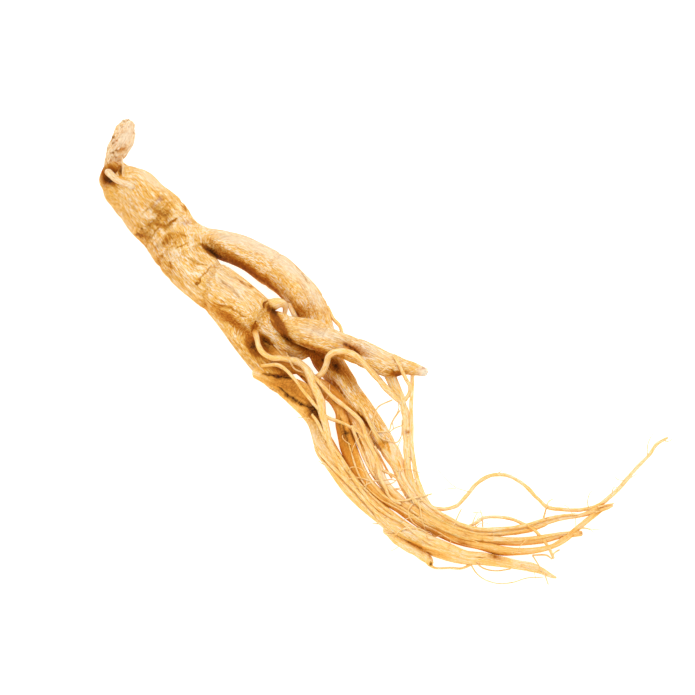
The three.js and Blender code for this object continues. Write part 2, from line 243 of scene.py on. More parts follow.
@dataclass
class Course:
    """Stations along a limb: middles, radii and lengths, with a frame at each."""

    limb: Limb
    middle: np.ndarray
    radius: np.ndarray
    along: np.ndarray
    tangent: np.ndarray = field(init=False)
    normal: np.ndarray = field(init=False)
    side: np.ndarray = field(init=False)

    CAP_REACH = 0.75
    THINNING = 7
    CALM = 6
    CHUNK = 8192

    def __post_init__(self) -> None:
        """Carries a normal, upright at the first station, along the course without twist."""
        tangent = np.gradient(self.middle, axis=0)
        tangent /= np.linalg.norm(tangent, axis=1, keepdims=True)
        normal = np.empty_like(tangent)
        carried = np.array([0.0, 0.0, 1.0])
        for station, ahead in enumerate(tangent):
            carried = carried - carried.dot(ahead) * ahead
            carried = carried / np.linalg.norm(carried)
            normal[station] = carried
        self.tangent, self.normal, self.side = tangent, normal, np.cross(tangent, normal)

    def cut(self, start: float, end: float, thin_start: float = 1.0, thin_end: float = 1.0) -> "Course":
        """Takes a stretch, whose radius is multiplied by thin + (1 - thin) * ease at ends that are hidden.

        Args:
            start: The length that it starts at.
            end: The length that it ends at.
            thin_start: The factor on the radius at its start, which is 1 again THINNING mm further on.
            thin_end: The factor at its end.

        Returns:
            The stretch, with the same frames.
        """
        kept = (self.along >= start) & (self.along <= end)
        part = replace(self, middle=self.middle[kept], radius=self.radius[kept].copy(),
                       along=self.along[kept])
        part.tangent, part.normal, part.side = self.tangent[kept], self.normal[kept], self.side[kept]
        part.radius *= thin_start + (1 - thin_start) * ease(part.along - part.along[0], 0, self.THINNING)
        part.radius *= thin_end + (1 - thin_end) * ease(part.along[-1] - part.along, 0, self.THINNING)
        return part

    def wander(self, reach: float, every: float, seed: int) -> "Course":
        """Bends the course by noise: middle + reach * (noise * normal + noise * side).

        Args:
            reach: The largest bend in millimetres.
            every: The length of a bend.
            seed: The noise's seed.

        Returns:
            The bent course, with the same ends.
        """
        half = np.full_like(self.along, 0.5)
        line = np.stack([self.along / every, half, half], axis=1)
        calm = ease(self.along, 0, self.CALM) * ease(self.along[-1] - self.along, 0, self.CALM)
        off = [Noise(seed + i).at(line) * calm * reach for i in range(2)]
        middle = self.middle + off[0][:, None] * self.normal + off[1][:, None] * self.side
        return Course(self.limb, middle, self.radius, self.along)

    def measure(self, points: np.ndarray) -> "Reading":
        """Finds each point's length along the limb, angle about it and height over its skin.

        The nearest station's tangent gives the length, and the rest of the offset points outwards. Past
        an end, the offset along the tangent counts too, over the cap's reach.

        Args:
            points: Points in millimetres, one a row.

        Returns:
            The readings, one for each point.
        """
        index = np.empty(len(points), int)
        squares = (self.middle**2).sum(axis=1)
        for start in range(0, len(points), self.CHUNK):
            chunk = slice(start, start + self.CHUNK)
            index[chunk] = (squares - 2 * points[chunk] @ self.middle.T).argmin(axis=1)
        offset = points - self.middle[index]
        tangent = self.tangent[index]
        ahead = (offset * tangent).sum(axis=1)
        past_start = np.where(index == 0, np.minimum(ahead, 0), 0)
        past_end = np.where(index == len(self.middle) - 1, np.maximum(ahead, 0), 0)
        past = past_start + past_end
        out = offset + tangent * (past / self.CAP_REACH - ahead)[:, None]
        along = self.along[index] + ahead - past
        angle = np.arctan2((out * self.side[index]).sum(axis=1), (out * self.normal[index]).sum(axis=1))
        away = np.linalg.norm(out, axis=1) + 1e-9
        radius = np.interp(along, self.along, self.radius)
        flat = np.hypot(np.cos(angle) * self.limb.flatness, np.sin(angle))
        height = away - self.limb.reach(radius, along, angle) * flat
        return Reading(along, angle, away, height, out / away[:, None])


@dataclass
class Reading:
    """Where points lie by a limb: along it, about it, away from its middle and over its skin."""

    along: np.ndarray
    angle: np.ndarray
    away: np.ndarray
    height: np.ndarray
    outward: np.ndarray

    @property
    def grain(self) -> np.ndarray:
        """The limb's own coordinates: along it, and two across it, in millimetres."""
        return np.stack([self.along, self.away * np.cos(self.angle), self.away * np.sin(self.angle)], 1)


BODY = Limb(
    points=(
        (5.8, 22.3, 10.8, 7), (9.3, 25.9, 10.8, 9.3), (13.8, 29.5, 10.9, 10.9), (18.9, 35.2, 11, 11.4),
        (26.2, 43.2, 11, 11.2), (31.6, 50.8, 10.8, 10.9), (35.4, 57.4, 10, 9.7), (42, 63.9, 9.4, 9.9),
        (52.8, 72, 9.4, 10.1), (61.5, 78.1, 8.4, 8.9), (68, 84.4, 7.4, 4.9), (74.4, 90.4, 6.6, 3.4),
    ),
    lobes=0.035,
    creases=(
        Crease(30, 0.35, 1.1, 2), Crease(36, 0.3, 1, -1.5), Crease(43, 0.45, 1.1, 2.5),
        Crease(49, 0.3, 1, 1), Crease(64, 0.7, 1.4, 4), Crease(90, 0.7, 1.6, 2),
    ),
)
RIGHT_LEG = Limb(
    points=(
        (27.6, 43, 10.8, 7.6), (35, 46.4, 10.6, 6.7), (42.1, 48.4, 10, 5.6), (48.9, 50, 9, 5.8),
        (57.9, 53.4, 7.6, 6.4), (65.5, 57.2, 7, 6.8), (72.5, 62, 6.9, 7.1), (78.6, 67.6, 6.9, 7.2),
        (83.4, 74.4, 6.7, 7.2), (87.2, 81.8, 6.1, 6.3), (90, 90, 5.5, 5.6), (93.2, 98.4, 5.2, 5),
        (97.8, 106, 5.1, 4.4),
    ),
    lobes=0.04,
    creases=(Crease(46, 0.3, 1.2, 1.5), Crease(66, 0.35, 1.3, -1.5), Crease(92, 0.3, 1.2, 1)),
)
RIGHT_LEG_TAIL = Limb(
    points=(
        (93.4, 97.6, 5.1, 4.2), (97.8, 106.4, 5.1, 4.9), (104, 115, 5, 4.9), (110, 123.3, 5, 4.6),
        (115.7, 131.7, 4.9, 3.8), (119.3, 138.2, 4.8, 3), (121.8, 145, 4.9, 2.7), (125.6, 151.2, 5, 2.6),
        (131, 156.2, 5, 2.4), (137.6, 160, 4.8, 2.2), (144.4, 162.8, 4.6, 1.9), (152, 164.4, 4.2, 1.9),
        (160, 164, 3.8, 1.6), (168, 163.2, 3.4, 1.5), (172, 162.4, 3.2, 1.4), (177, 160.9, 2.9, 1.2),
        (184, 159.1, 2.6, 1), (192, 157.9, 2.3, 0.9), (198, 156, 2.1, 1.4), (202, 154.8, 2, 1.1),
        (204.4, 154, 2, 0.7),
    ),
)
MAIN_LEG_TAIL = Limb(
    points=(
        (70.8, 87.2, 7.2, 3.4), (76, 91.4, 6.2, 3.7), (80, 92.6, 5.6, 3.6),
        (84.4, 92.4, 5.4, 2.3), (88.6, 97.2, 5, 3.3),
        (95.4, 106.8, 5, 3), (100.4, 116.4, 5.6, 3), (104.5, 125.4, 5.8, 3.4), (107.5, 132.2, 5.7, 3.2),
        (110.2, 138.8, 5.6, 3), (113.3, 145, 5.6, 2.2), (119.4, 151.8, 5.6, 2.3),
        (127.6, 157.4, 5.4, 2.1), (136, 162, 5, 2.1), (144, 165.4, 4.6, 1.8), (152, 167.2, 4.2, 1.7),
        (160, 168, 3.7, 1.7), (168, 168.2, 3.2, 1.9), (176, 167.5, 2.8, 1.8), (184, 165.8, 2.4, 1.4),
        (192, 165.1, 2, 1.2),
    ),
)
BRANCH_STUB = Limb(
    points=(
        (64, 79.6, 7.5, 3), (69.6, 79.8, 9.5, 4), (74.8, 82.8, 12.2, 4.7), (80, 84.6, 14.8, 5.4),
        (85.6, 86.2, 16.4, 5.7), (91.4, 88.4, 17, 5.2), (99.6, 90.9, 17, 4.7), (108, 94.4, 16.7, 5.2),
        (116.2, 98.2, 16.3, 5.3), (123, 99.3, 16.2, 3), (129.2, 100.8, 16.4, 2.2),
    ),
    lobes=0.05,
    creases=(Crease(14, 0.5, 1.2, 2), Crease(46, 0.35, 1.2, 2)),
)
THIRD_LEG = Limb(
    points=(
        (44.8, 70, 6.8, 5), (54, 83.2, 5.6, 5.2), (62, 93.4, 5.2, 5.2), (69.6, 102, 5, 5),
        (78.3, 110.2, 4.8, 4.4), (86, 119.6, 4.4, 3.9), (90, 130.4, 4.2, 4), (97.6, 142, 4.1, 4.1),
        (107, 152.8, 4, 4), (118, 161.6, 3.8, 3.7), (130.4, 168.9, 3.5, 3.8), (139.2, 172.4, 3.3, 3.6),
        (147, 174.7, 2.9, 2.8), (152, 175.1, 2.5, 2.5), (160, 176.2, 2.2, 2.2), (168, 177.7, 2.1, 2),
        (172, 178.4, 2.1, 2), (176, 179.8, 1.6, 1.4), (180.4, 182, 1.1, 0.9), (182, 182.6, 1, 0.5),
    ),
    lobes=0.04,
)
INNER_LEG = Limb(
    points=(
        (58, 87, 5, 3), (63, 89.4, 4.6, 3.2), (69, 93.4, 4.8, 3.4), (75, 98.2, 6.8, 3.8),
        (79.6, 99.5, 7, 2.4), (84.9, 104, 7, 2.6), (89.8, 107.7, 6.6, 3.3),
        (94.5, 111.8, 6.2, 3.2), (96.6, 117, 6.1, 2.5),
        (97.3, 122.6, 6, 3.3), (100, 132.6, 5.8, 3.4), (105.6, 143.6, 5.6, 2.7), (112, 150.2, 5.2, 2.3),
        (119.6, 155.1, 4.8, 2), (128, 160.9, 4.2, 2.2), (136, 164.8, 3.8, 2), (144, 168.2, 3.8, 1.8),
        (152, 169.9, 3.8, 1.9), (160, 171.8, 3.6, 2.1), (168, 172.2, 3.3, 1.5), (176, 171.4, 2.9, 1.3),
        (181, 170, 2.7, 1.1), (186, 167, 2.5, 1.2), (190.8, 162.9, 2.3, 1.1), (196, 158.8, 2, 1.1),
        (200, 155.8, 1.9, 0.8),
    ),
)
LOWER_LEG = Limb(
    points=(
        (63, 101, 5.6, 2.8), (70.4, 104.4, 6.4, 3.1), (77.2, 106.8, 6.9, 3.8), (82.3, 109.8, 6.9, 4.1),
        (85.2, 113, 6.2, 3.1), (87.6, 121.4, 4.8, 2.3), (92.2, 131, 5, 2.6), (98.4, 141.2, 4.6, 2.9),
        (105.8, 150.8, 4.4, 2.7), (114, 158.4, 4.2, 2.3), (122, 163.4, 4, 2.1),
    ),
)
NECK = Limb(
    points=(
        (4.8, 23.2, 10.5, 2.6), (4.2, 19.8, 14, 3), (5, 16, 16, 3.5), (6.9, 12, 17.6, 4.8),
        (9, 8, 18.8, 5.2), (10.2, 4.2, 19.4, 4.7), (11, 2, 19.6, 3.2),
    ),
    flatness=0.62,
    lobes=0.05,
)
CROWN_SPUR = Limb(
    points=((3, 20.6, 17, 1.4), (6, 23.4, 20, 1.3), (9.4, 25.2, 22, 1.2), (13, 26.6, 22.6, 1)),
)
CROWN_FIBRE = Limb(points=((8.7, 15, 18.6, 0.42), (9, 18.6, 20.4, 0.4), (9.2, 22.6, 20.8, 0.45)))
KNOB = Limb(
    points=(
        (64.6, 75.4, 10, 2), (66.8, 74.4, 11.6, 2.6), (69.4, 73.8, 12.6, 2.5), (72, 73.2, 12.9, 2),
        (73.9, 74, 11.8, 1.3), (74, 76, 10, 1), (73.6, 78.4, 8.6, 0.9),
    ),
)
ROOTLETS = tuple(Limb(points=points) for points in (
    (
        (60.8, 82.4, 8, 1.4), (62.8, 87.2, 9.6, 1.2), (64.2, 92, 11, 1.1), (68, 94.9, 11.6, 1.1),
        (74, 95.6, 11.6, 1.2), (79.2, 96.7, 11, 1.5), (83, 100.4, 11, 1.6), (85.2, 106, 10.4, 1.6),
        (88, 112, 9.8, 1.8), (89.5, 119.4, 8.8, 1.5), (92.4, 130.2, 8, 1.3), (97.6, 141.6, 7.4, 1.2),
        (104.8, 150.4, 7, 1), (113.2, 157.6, 6.2, 0.9),
    ),
    (
        (80.8, 98, 11, 0.9), (86.4, 103.6, 10.6, 0.9), (92.4, 110, 10, 0.9), (98.8, 115.2, 9.6, 0.9),
        (104, 120.4, 9.2, 0.9), (107, 128, 9, 0.9), (110.4, 134.8, 8.6, 0.8), (111.6, 139.6, 8, 0.6),
    ),
    (
        (64.8, 98.4, 9, 0.8), (71.4, 98, 11, 0.8), (76.2, 101.8, 11, 0.7), (81.2, 108.2, 10.6, 0.7),
        (86, 114, 9.6, 0.7), (90.4, 118.4, 9, 0.7), (96.4, 120.8, 8.8, 0.7), (102, 124, 9, 0.7),
        (106.6, 127.8, 9, 0.6), (109.6, 134, 8.4, 0.6),
    ),
    (
        (86.4, 103.2, 8.6, 1.2), (89.2, 100.6, 11, 1.3), (90.6, 97.4, 14, 1.3), (91.3, 94.6, 17, 1.3),
        (93.8, 92.8, 20, 1.2), (98.6, 92.7, 20.8, 1.2), (103.4, 95, 19.8, 1.2), (108, 99.9, 17, 1.3),
        (112.8, 105.4, 14.6, 1.3), (117.6, 110.5, 12.4, 1.2),
        (121.2, 113.8, 11, 1.2), (122.6, 118, 10.4, 1.2),
        (123.2, 124.4, 9.8, 1.2), (123.4, 132.4, 9, 1.1), (123.6, 140.6, 8, 1), (126.8, 148.6, 6.8, 1.1),
        (132, 155.6, 5.6, 1),
    ),
    (
        (117.8, 95, 20.9, 0.6), (119.4, 97.6, 19.9, 0.8),
        (120.8, 100.4, 18.2, 0.8), (122.2, 103.2, 16.8, 0.8),
        (123.8, 106.4, 15.2, 0.8), (123.8, 109, 13.2, 0.8), (122.2, 112, 12, 0.8),
    ),
    (
        (125, 100.6, 16, 0.9), (124.7, 107, 14, 0.75), (124.4, 120, 11.6, 0.8), (124.8, 132, 9.6, 0.9),
        (126.5, 142.2, 8, 0.9), (130, 151.4, 6.4, 1.1), (136, 158.8, 5.2, 0.8),
    ),
    (
        (114.6, 96.8, 15, 1.3), (117, 102.6, 14, 1.5), (118.8, 106.8, 13, 1.4), (120.6, 110.4, 12, 1.2),
        (121.5, 115.2, 10.8, 1.3), (122.1, 122.8, 9.8, 1.2),
        (122.3, 132.8, 8.6, 1.2), (123.4, 142.4, 7.2, 1.2),
        (127.6, 151.2, 6, 1.2), (134.4, 158, 5, 1),
    ),
    ((112.2, 96.4, 15, 1.1), (115, 103.2, 13.8, 1.1), (117.2, 107.2, 12.8, 1), (120.2, 110.8, 11.8, 0.8)),
    (
        (128.8, 152.8, 5.2, 0.9), (136, 155.4, 5, 0.8), (142, 154.2, 5.4, 0.8), (146.2, 150.4, 6.2, 0.8),
        (150.2, 145.6, 7, 0.8), (154.8, 142.5, 7.6, 0.8),
        (159.6, 141.6, 7.8, 0.8), (164.6, 142.8, 7.4, 0.8),
        (170, 146.4, 6.4, 0.8), (174.8, 151.2, 5, 0.8), (178.8, 154.7, 4, 0.8), (184, 155.6, 3.2, 0.8),
        (192, 155.6, 2.6, 0.8), (198.4, 154.4, 2.4, 0.9), (203.2, 150.8, 2.8, 0.9), (209, 145.1, 3.4, 0.9),
        (214.7, 138.8, 4, 0.8), (219.5, 133.6, 4.4, 0.8), (222.3, 129.8, 4.6, 0.7), (226.6, 127, 4.8, 0.6),
    ),
    (
        (145.6, 163, 4.8, 0.8), (149.6, 161.2, 5.6, 0.7), (153, 159, 6, 0.7), (158.4, 158.5, 6, 0.7),
        (164, 159.2, 5.4, 0.7), (169.6, 161.6, 4.8, 0.7), (173.6, 164, 4.4, 0.7), (176.8, 167.6, 3.6, 0.7),
        (179.4, 171.2, 3, 0.6), (181, 174.8, 2.2, 0.6),
    ),
    (
        (115, 163.6, 3, 2.2), (121, 168.8, 2.7, 2.2), (126.4, 172.2, 2.5, 2.1), (130.6, 175, 2.3, 1.9),
        (132, 177, 2, 1.3),
    ),
    (
        (131.6, 177.4, 1.8, 0.8), (133.8, 178.7, 1.3, 0.5), (140, 178.7, 1.2, 0.5), (144.4, 179, 1.3, 0.5),
        (149.6, 176.4, 2.4, 0.6),
    ),
    ((90.8, 75, 7, 1), (93.4, 79.6, 7.4, 0.8), (95.8, 82.4, 8.6, 0.75), (97.4, 88, 12, 0.65)),
    ((75.6, 73.8, 10, 0.9), (76.9, 76.2, 9.6, 1), (78, 78.6, 9, 1)),
))


# Marks on the skin

class Stain(Enum):
    """What discolours the skin, and the shade and highlight painted on it. Each value is the mesh
    attribute that holds how much.
    """

    # Painted shade in the hollows, creases and pits and between the limbs, and the orange-brown of a few
    # spots.
    HOLLOW = "hollow"
    # Soil, and painted shade where the legs and the crown's pit lie in shade.
    SOIL = "soil"
    BRUISE = "bruise"
    # Bare pale skin, and a painted highlight along the lit upper edges.
    BARE = "bare"
    # Near-black painted shade in the deepest clefts, holes and cavities.
    CLEFT = "cleft"


@dataclass(frozen=True)
class Mark:
    """A soft-edged mark in the drawn view: its middle, half-length and half-width, and its turn."""

    stain: Stain
    right: float
    down: float
    long: float
    short: float
    turn: float = 0.0
    strength: float = 1.0

    def amount(self, drawn: np.ndarray) -> np.ndarray:
        """strength * exp(-(a / long)^2 - (b / short)^2), with a and b turned with the mark.

        Args:
            drawn: Points as right and down.

        Returns:
            How much of the stain each point gets.
        """
        turn = math.radians(self.turn)
        x, y = drawn[:, 0] - self.right, drawn[:, 1] - self.down
        a = x * math.cos(turn) + y * math.sin(turn)
        b = y * math.cos(turn) - x * math.sin(turn)
        return self.strength * np.exp(-(a / self.long) ** 2 - (b / self.short) ** 2)


def marks(**rows: tuple[tuple[float, ...], ...]) -> tuple[Mark, ...]:
    """Makes marks from each stain's rows of middle, half-length, half-width, turn and strength."""
    return tuple(Mark(Stain(name), *row) for name, group in rows.items() for row in group)


MARKS = marks(
    soil=(
        (22.4, 35.8, 3.4, 1.8, 45, 0.6), (26.2, 37.4, 2.6, 2.2, 45, 0.5),
        (21.8, 41.4, 4.4, 2.2, -35, 0.65), (26, 42.8, 1.8, 1.3, 0, 0.6), (28.8, 40.8, 2.4, 0.7, -35, 0.7),
        (27.6, 46.8, 2.4, 1.3, -40, 0.6), (25.6, 49.4, 3.6, 1.1, -25, 0.5),
        (18.4, 46.2, 2.6, 1.6, 20, 0.5), (16.5, 43.6, 0.5, 0.5, 0, 1.4), (16.4, 46.2, 0.6, 0.5, 0, 1.6),
        (44.4, 52.6, 4.4, 1.2, 36, 1.2), (52.4, 57, 6.4, 1.1, 27, 1.0), (60, 60.4, 12, 1.0, 35, 0.9),
        (70.4, 79.6, 6.4, 1.2, 58, 1.3), (69, 76.2, 2.4, 1, 35, 1.3), (157.2, 173.8, 1.4, 0.8, 10, 0.6),
        (4.6, 24.6, 2.6, 1.7, 25, 0.9), (38.6, 65.6, 0.5, 0.8, 20, 0.8), (152.5, 167.7, 0.7, 0.4, 0, 0.7),
        (198.8, 155.8, 1, 0.5, 0, 0.7),
    ),
    # Near-black painted shade in the crotch, the crown's pit and other small cavities.
    cleft=(
        (15, 45.8, 0.8, 0.4, 0, 0.9), (44.8, 52.9, 4, 0.9, 36, 1.3), (69.6, 76.8, 1.6, 0.8, 45, 0.9),
        (3.8, 23.9, 2.1, 1.2, 30, 1.4), (8, 20, 0.7, 1.6, 0, 1.0), (132.2, 177.1, 0.5, 0.6, 0, 1.0),
    ),
    # Painted shade under the right leg and in the forks, and the orange-brown of a few spots and lines.
    hollow=(
        (24, 31.6, 2.8, 1.6, -35, 0.45), (34, 35.2, 1.3, 0.8, 30, 0.6), (37.8, 40.6, 1.6, 0.6, 20, 0.4),
        (48, 51.4, 6, 1.5, 30, 0.35), (59.2, 59.2, 13, 1.6, 33, 0.45), (71.6, 82, 6, 1.5, 58, 0.8),
        (61.6, 83.4, 1.6, 1.1, 80, 0.8), (112.8, 129.8, 1.6, 1.2, 60, 0.9),
        (115.4, 131, 2.4, 0.4, 75, 1.0), (119.6, 137.4, 1.8, 0.4, 70, 1.0),
        (114.6, 154, 1.2, 0.4, 30, 0.9), (126, 169.6, 5.5, 1.3, 28, 0.7),
    ),
    # The bare rows along the right leg's upper edge paint a highlight where the light falls; the scar and
    # the break are bare skin.
    bare=(
        (23, 32.6, 2, 0.6, -48, 1.0), (130, 100.4, 3, 2.4, 0, 0.7), (52, 47, 8, 2.4, 15, 0.65),
        (64, 51, 8, 3, 27, 0.6), (75, 58, 8, 3.2, 42, 0.6), (20, 23.4, 7, 1.6, 40, 0.5),
        (85, 69, 8, 2.8, 58, 0.5), (53, 66, 9, 4, 38, 0.4), (88, 86, 7, 2, 15, 0.3),
    ),
    bruise=(
        (34.6, 41.2, 2.4, 0.8, -6, 0.7), (14, 34, 7, 5, 48, 0.16), (24, 52, 6, 4, 48, 0.2),
        (82, 75, 6, 4, 20, 0.3), (158.4, 174.6, 3, 1, 10, 1.0), (145, 169, 3.4, 1.2, 25, 0.9),
        (133, 164.6, 4, 1.2, 25, 0.8), (122.8, 124.8, 1.2, 0.8, 0, 0.9), (0.9, 21.6, 1, 3.8, -16, 0.9),
        (137.2, 167.3, 1.2, 0.5, 30, 0.8), (163.6, 159.8, 0.8, 0.5, 20, 0.8),
        (178.3, 159, 1, 0.5, -30, 0.8), (192.1, 164.8, 0.8, 0.6, 0, 0.8),
        (146.8, 165.7, 2.4, 0.5, 15, 0.6), (132, 174.2, 1.4, 0.7, 80, 0.5),
    ),
)
# Painted shade on the legs where the rootlets and the branch close them in, nearly black in the clefts;
# the soil and bruise rows darken the same shaded places.
LEG_MARKS = marks(
    hollow=(
        (63.4, 90, 5, 4, 40, 1.0), (83.6, 92.4, 7, 2.4, 20, 1.0), (87.6, 97, 3.4, 3.2, 0, 1.0),
        (99, 101.6, 5.4, 2.6, 62, 0.6), (94.4, 111.6, 4, 2, 50, 0.9), (98.4, 127.6, 8.4, 3.4, 68, 0.9),
        (101.6, 136, 4.6, 1.6, 62, 0.7), (77, 107.6, 7.4, 3.6, 26, 0.5), (73, 99.4, 7, 2.2, 12, 0.65),
        (77, 98.6, 4.4, 1.5, 24, 0.7), (80, 77, 5, 3, 30, 0.5), (54, 81.4, 9, 1.8, 38, 0.9),
        (84, 116.6, 5, 2.2, 50, 0.5),
    ),
    cleft=(
        (67, 90, 3, 1.8, 42, 0.85), (65.6, 87.4, 1.8, 1, 50, 0.5), (61.2, 91, 3.6, 1.7, 62, 0.9),
        (75.4, 87.6, 2.8, 1, 32, 1.1), (89.2, 96, 1, 0.7, 0, 0.9), (94.2, 98.4, 3, 1.7, 60, 0.75),
        (93.8, 112.2, 1.8, 0.6, 60, 0.8), (98.8, 125.2, 1.1, 0.8, 0, 1.0), (95.8, 121.6, 2, 0.6, 80, 0.6),
        (103.2, 131, 1, 0.6, 60, 0.8), (100.2, 140.2, 1.2, 0.5, 60, 0.6), (103.2, 145, 1.3, 0.5, 50, 0.6),
        (85, 116.4, 2.2, 1.2, 50, 0.9),
    ),
    soil=(
        (83, 91, 6, 1.1, 22, 0.7), (87, 97.4, 2.6, 2, 50, 0.5), (94, 98.8, 3.4, 2, 58, 1.0),
        (97.6, 126, 5.4, 1.6, 70, 0.7), (85.2, 117, 3, 1.8, 54, 1.1), (77, 75.6, 2, 1.4, 60, 0.6),
        (76, 105.4, 12, 5, 32, 0.55), (88, 124, 10, 3.4, 62, 0.4),
    ),
    bruise=(
        (93, 106, 4.6, 2.4, 50, 1.0), (99, 117, 7, 2.2, 55, 0.7), (97.2, 131.4, 1.2, 1, 0, 1.0),
        (71.4, 103.3, 1.2, 0.6, 0, 0.9),
    ),
)
NECK_MARKS = marks(
    bare=(
        (10.4, 6.4, 5, 2.4, -55, 0.9),
    ),
    cleft=(
        (5.3, 6.8, 0.6, 0.45, 0, 0.8), (6.4, 12, 0.5, 0.4, 0, 0.6),
    ),
    soil=(
        (4.9, 9.2, 0.6, 0.5, 0, 0.9), (5.2, 12.8, 0.6, 0.5, 0, 0.9),
    ),
    hollow=(
        (8.8, 11.6, 2.2, 0.7, -35, 0.8),
    ),
    bruise=(
        (5.6, 8.8, 2.6, 1.2, 70, 0.5), (8.6, 4.8, 0.5, 0.4, 0, 0.7),
    ),
)
# On the branch: rust and orange-brown on its scar and nodes, painted shade along its lower edge and in its
# cracks, and a painted highlight along its upper side.
BRANCH_MARKS = marks(
    bruise=(
        (101.8, 91.6, 5.6, 2, 22, 1.0), (129, 99.4, 0.8, 0.6, 0, 0.8),
    ),
    hollow=(
        (101.4, 91.4, 4, 1, 26, 0.9), (118.4, 101.6, 2.8, 1.2, 12, 0.9), (86, 91.4, 9, 1, 18, 0.6),
    ),
    cleft=(
        (100.4, 91, 2.6, 0.34, 30, 0.9), (103.4, 93.2, 2, 0.3, 42, 0.8), (98.4, 89.8, 1, 0.5, 10, 0.7),
        (119, 102, 1, 0.6, 20, 0.7), (117.4, 100.8, 1.2, 0.25, 45, 0.8), (75.4, 87.4, 3, 0.7, 35, 1.0),
    ),
    soil=(
        (73, 82.4, 3.4, 1.3, 60, 0.8),
    ),
    bare=(
        (88, 84.6, 10, 2.2, 12, 0.4), (110, 93, 12, 2.2, 20, 0.4),
    ),
)


@dataclass(frozen=True)
class Fold:
    """A thin fold in the skin that faces the viewer: its drawn course, depth and half-width, and the shade
    painted in it, near black at its bottom.
    """

    line: tuple[tuple[float, float], ...]
    depth: float = 0.35
    width: float = 0.3
    shade: float = 0.6
    # How much near-black shade is painted at the fold's bottom.
    cleft: float = 0.0

    ENDS = 0.33

    def amount(self, drawn: np.ndarray) -> np.ndarray:
        """Gives exp(-(distance to the course / width)^2), with the width drawn in to a third at both ends.

        Args:
            drawn: Points as right and down.

        Returns:
            1 along the fold's bottom and 0 away from it.
        """
        corners = np.array(self.line)
        lengths = lengths_along(corners)
        deepest = np.zeros(len(drawn))
        for start, end, before in zip(corners[:-1], corners[1:], lengths):
            step = end - start
            share = np.clip((drawn - start) @ step / (step @ step), 0, 1)
            gap = np.linalg.norm(drawn - start - share[:, None] * step, axis=1)
            along = (before + share * math.dist(end, start)) / lengths[-1]
            width = self.width * (self.ENDS + (1 - self.ENDS) * np.sin(math.pi * along))
            deepest = np.maximum(deepest, np.exp(-((gap / width) ** 2)))
        return deepest


FOLDS = tuple(Fold(*row) for row in (
    (((45, 58), (42, 61.2), (40, 63.2), (38.8, 67.2)), 0.5), (((30.4, 51.4), (35.2, 49.2)), 0.35),
    (((67, 72.4), (65.8, 73.4), (65.6, 75.4)), 0.4, 0.35, 1.2, 0.5), (((28, 56.4), (28.6, 59.6)), 0.25),
    (((62.6, 80.4), (61.8, 83.4), (61.6, 86.4)), 0.7, 0.5, 1.2),
    (((30.6, 39.3), (27, 41.4)), 0.35, 0.3, 1.0),
    (((26.6, 41), (30.4, 44.6), (34, 46.4), (37, 47)), 0.3, 0.3, 0.25),
    (((25.2, 41.4), (22.4, 44), (20.4, 47)), 0.3), (((19.6, 35), (16.4, 38)), 0.25, 0.4, 0.5),
    (((17, 27.4), (20.6, 31), (23.8, 33.6)), 0.12, 0.3, 0.2),
    (((27, 32), (31, 36), (33.4, 38.4)), 0.12, 0.36, 0.2),
    (((35, 55), (39, 57.4), (43, 57.8)), 0.3, 0.5, 0.5),
    (((48, 64), (53, 67.6), (56.6, 72)), 0.25, 0.5, 0.5),
    (((47, 74), (52.6, 75.4), (58, 79)), 0.3, 0.6, 0.5),
    (((54, 62.4), (58.4, 66), (62.6, 67)), 0.25, 0.4, 0.5),
    (((76, 55.6), (80.4, 60.4), (84, 66.2)), 0.2, 0.4, 0.4),
    (((66, 64.4), (71, 69), (75.4, 75.6)), 0.25, 0.45),
    (((78, 82), (84, 83.6), (91, 85.4), (97, 88.4)), 0.3, 0.4, 0.5),
    (((82, 88), (90, 91.2), (98, 93.4), (106, 97.2)), 0.25, 0.4, 0.5),
))
# Crevices between the legs, sunk and with shade painted in them, near black at the bottom.
CREVICES = tuple(Fold(*row) for row in (
    (((65.4, 101.4), (69.6, 102.3), (74, 102.8), (78, 102.4), (82, 103.2)), 0.5, 0.8, 1.0, 1.0),
    (((71.2, 106.8), (74.4, 109.6), (78.2, 112.3), (82, 114.1), (85.8, 114.8)), 0.5, 0.7, 1.0, 1.0),
    (((85.4, 114.4), (88, 119), (90.4, 125)), 0.3, 0.5, 1.0, 0.6),
    (((98.6, 113.4), (102.4, 117), (106.6, 121.6), (109, 124.4)), 0.3, 0.6, 1.2, 0.5),
    (((95.6, 118.6), (97.4, 122.6), (98.6, 127), (101, 133)), 0.3, 0.4, 1.0, 0.6),
    (((99.6, 120), (103, 126), (106.4, 133)), 0.3, 0.35, 1.0, 0.3),
    (((78.4, 89.2), (83, 91.6), (88.6, 94.4)), 0.2, 0.5, 1.0, 0.5),
    (((92.4, 104), (95.6, 107.4), (98.2, 111)), 0.25, 0.35, 0.8, 0.4),
    (((119, 165.7), (122.2, 168), (125.5, 170.2), (129.6, 171.8)), 0.4, 0.8, 1.0, 0.4),
    (((81, 112.4), (86.6, 119), (90.4, 127.4), (94.4, 136)), 0.3, 0.4, 0.8, 0.1),
))


# Surfaces, and what wrinkles them

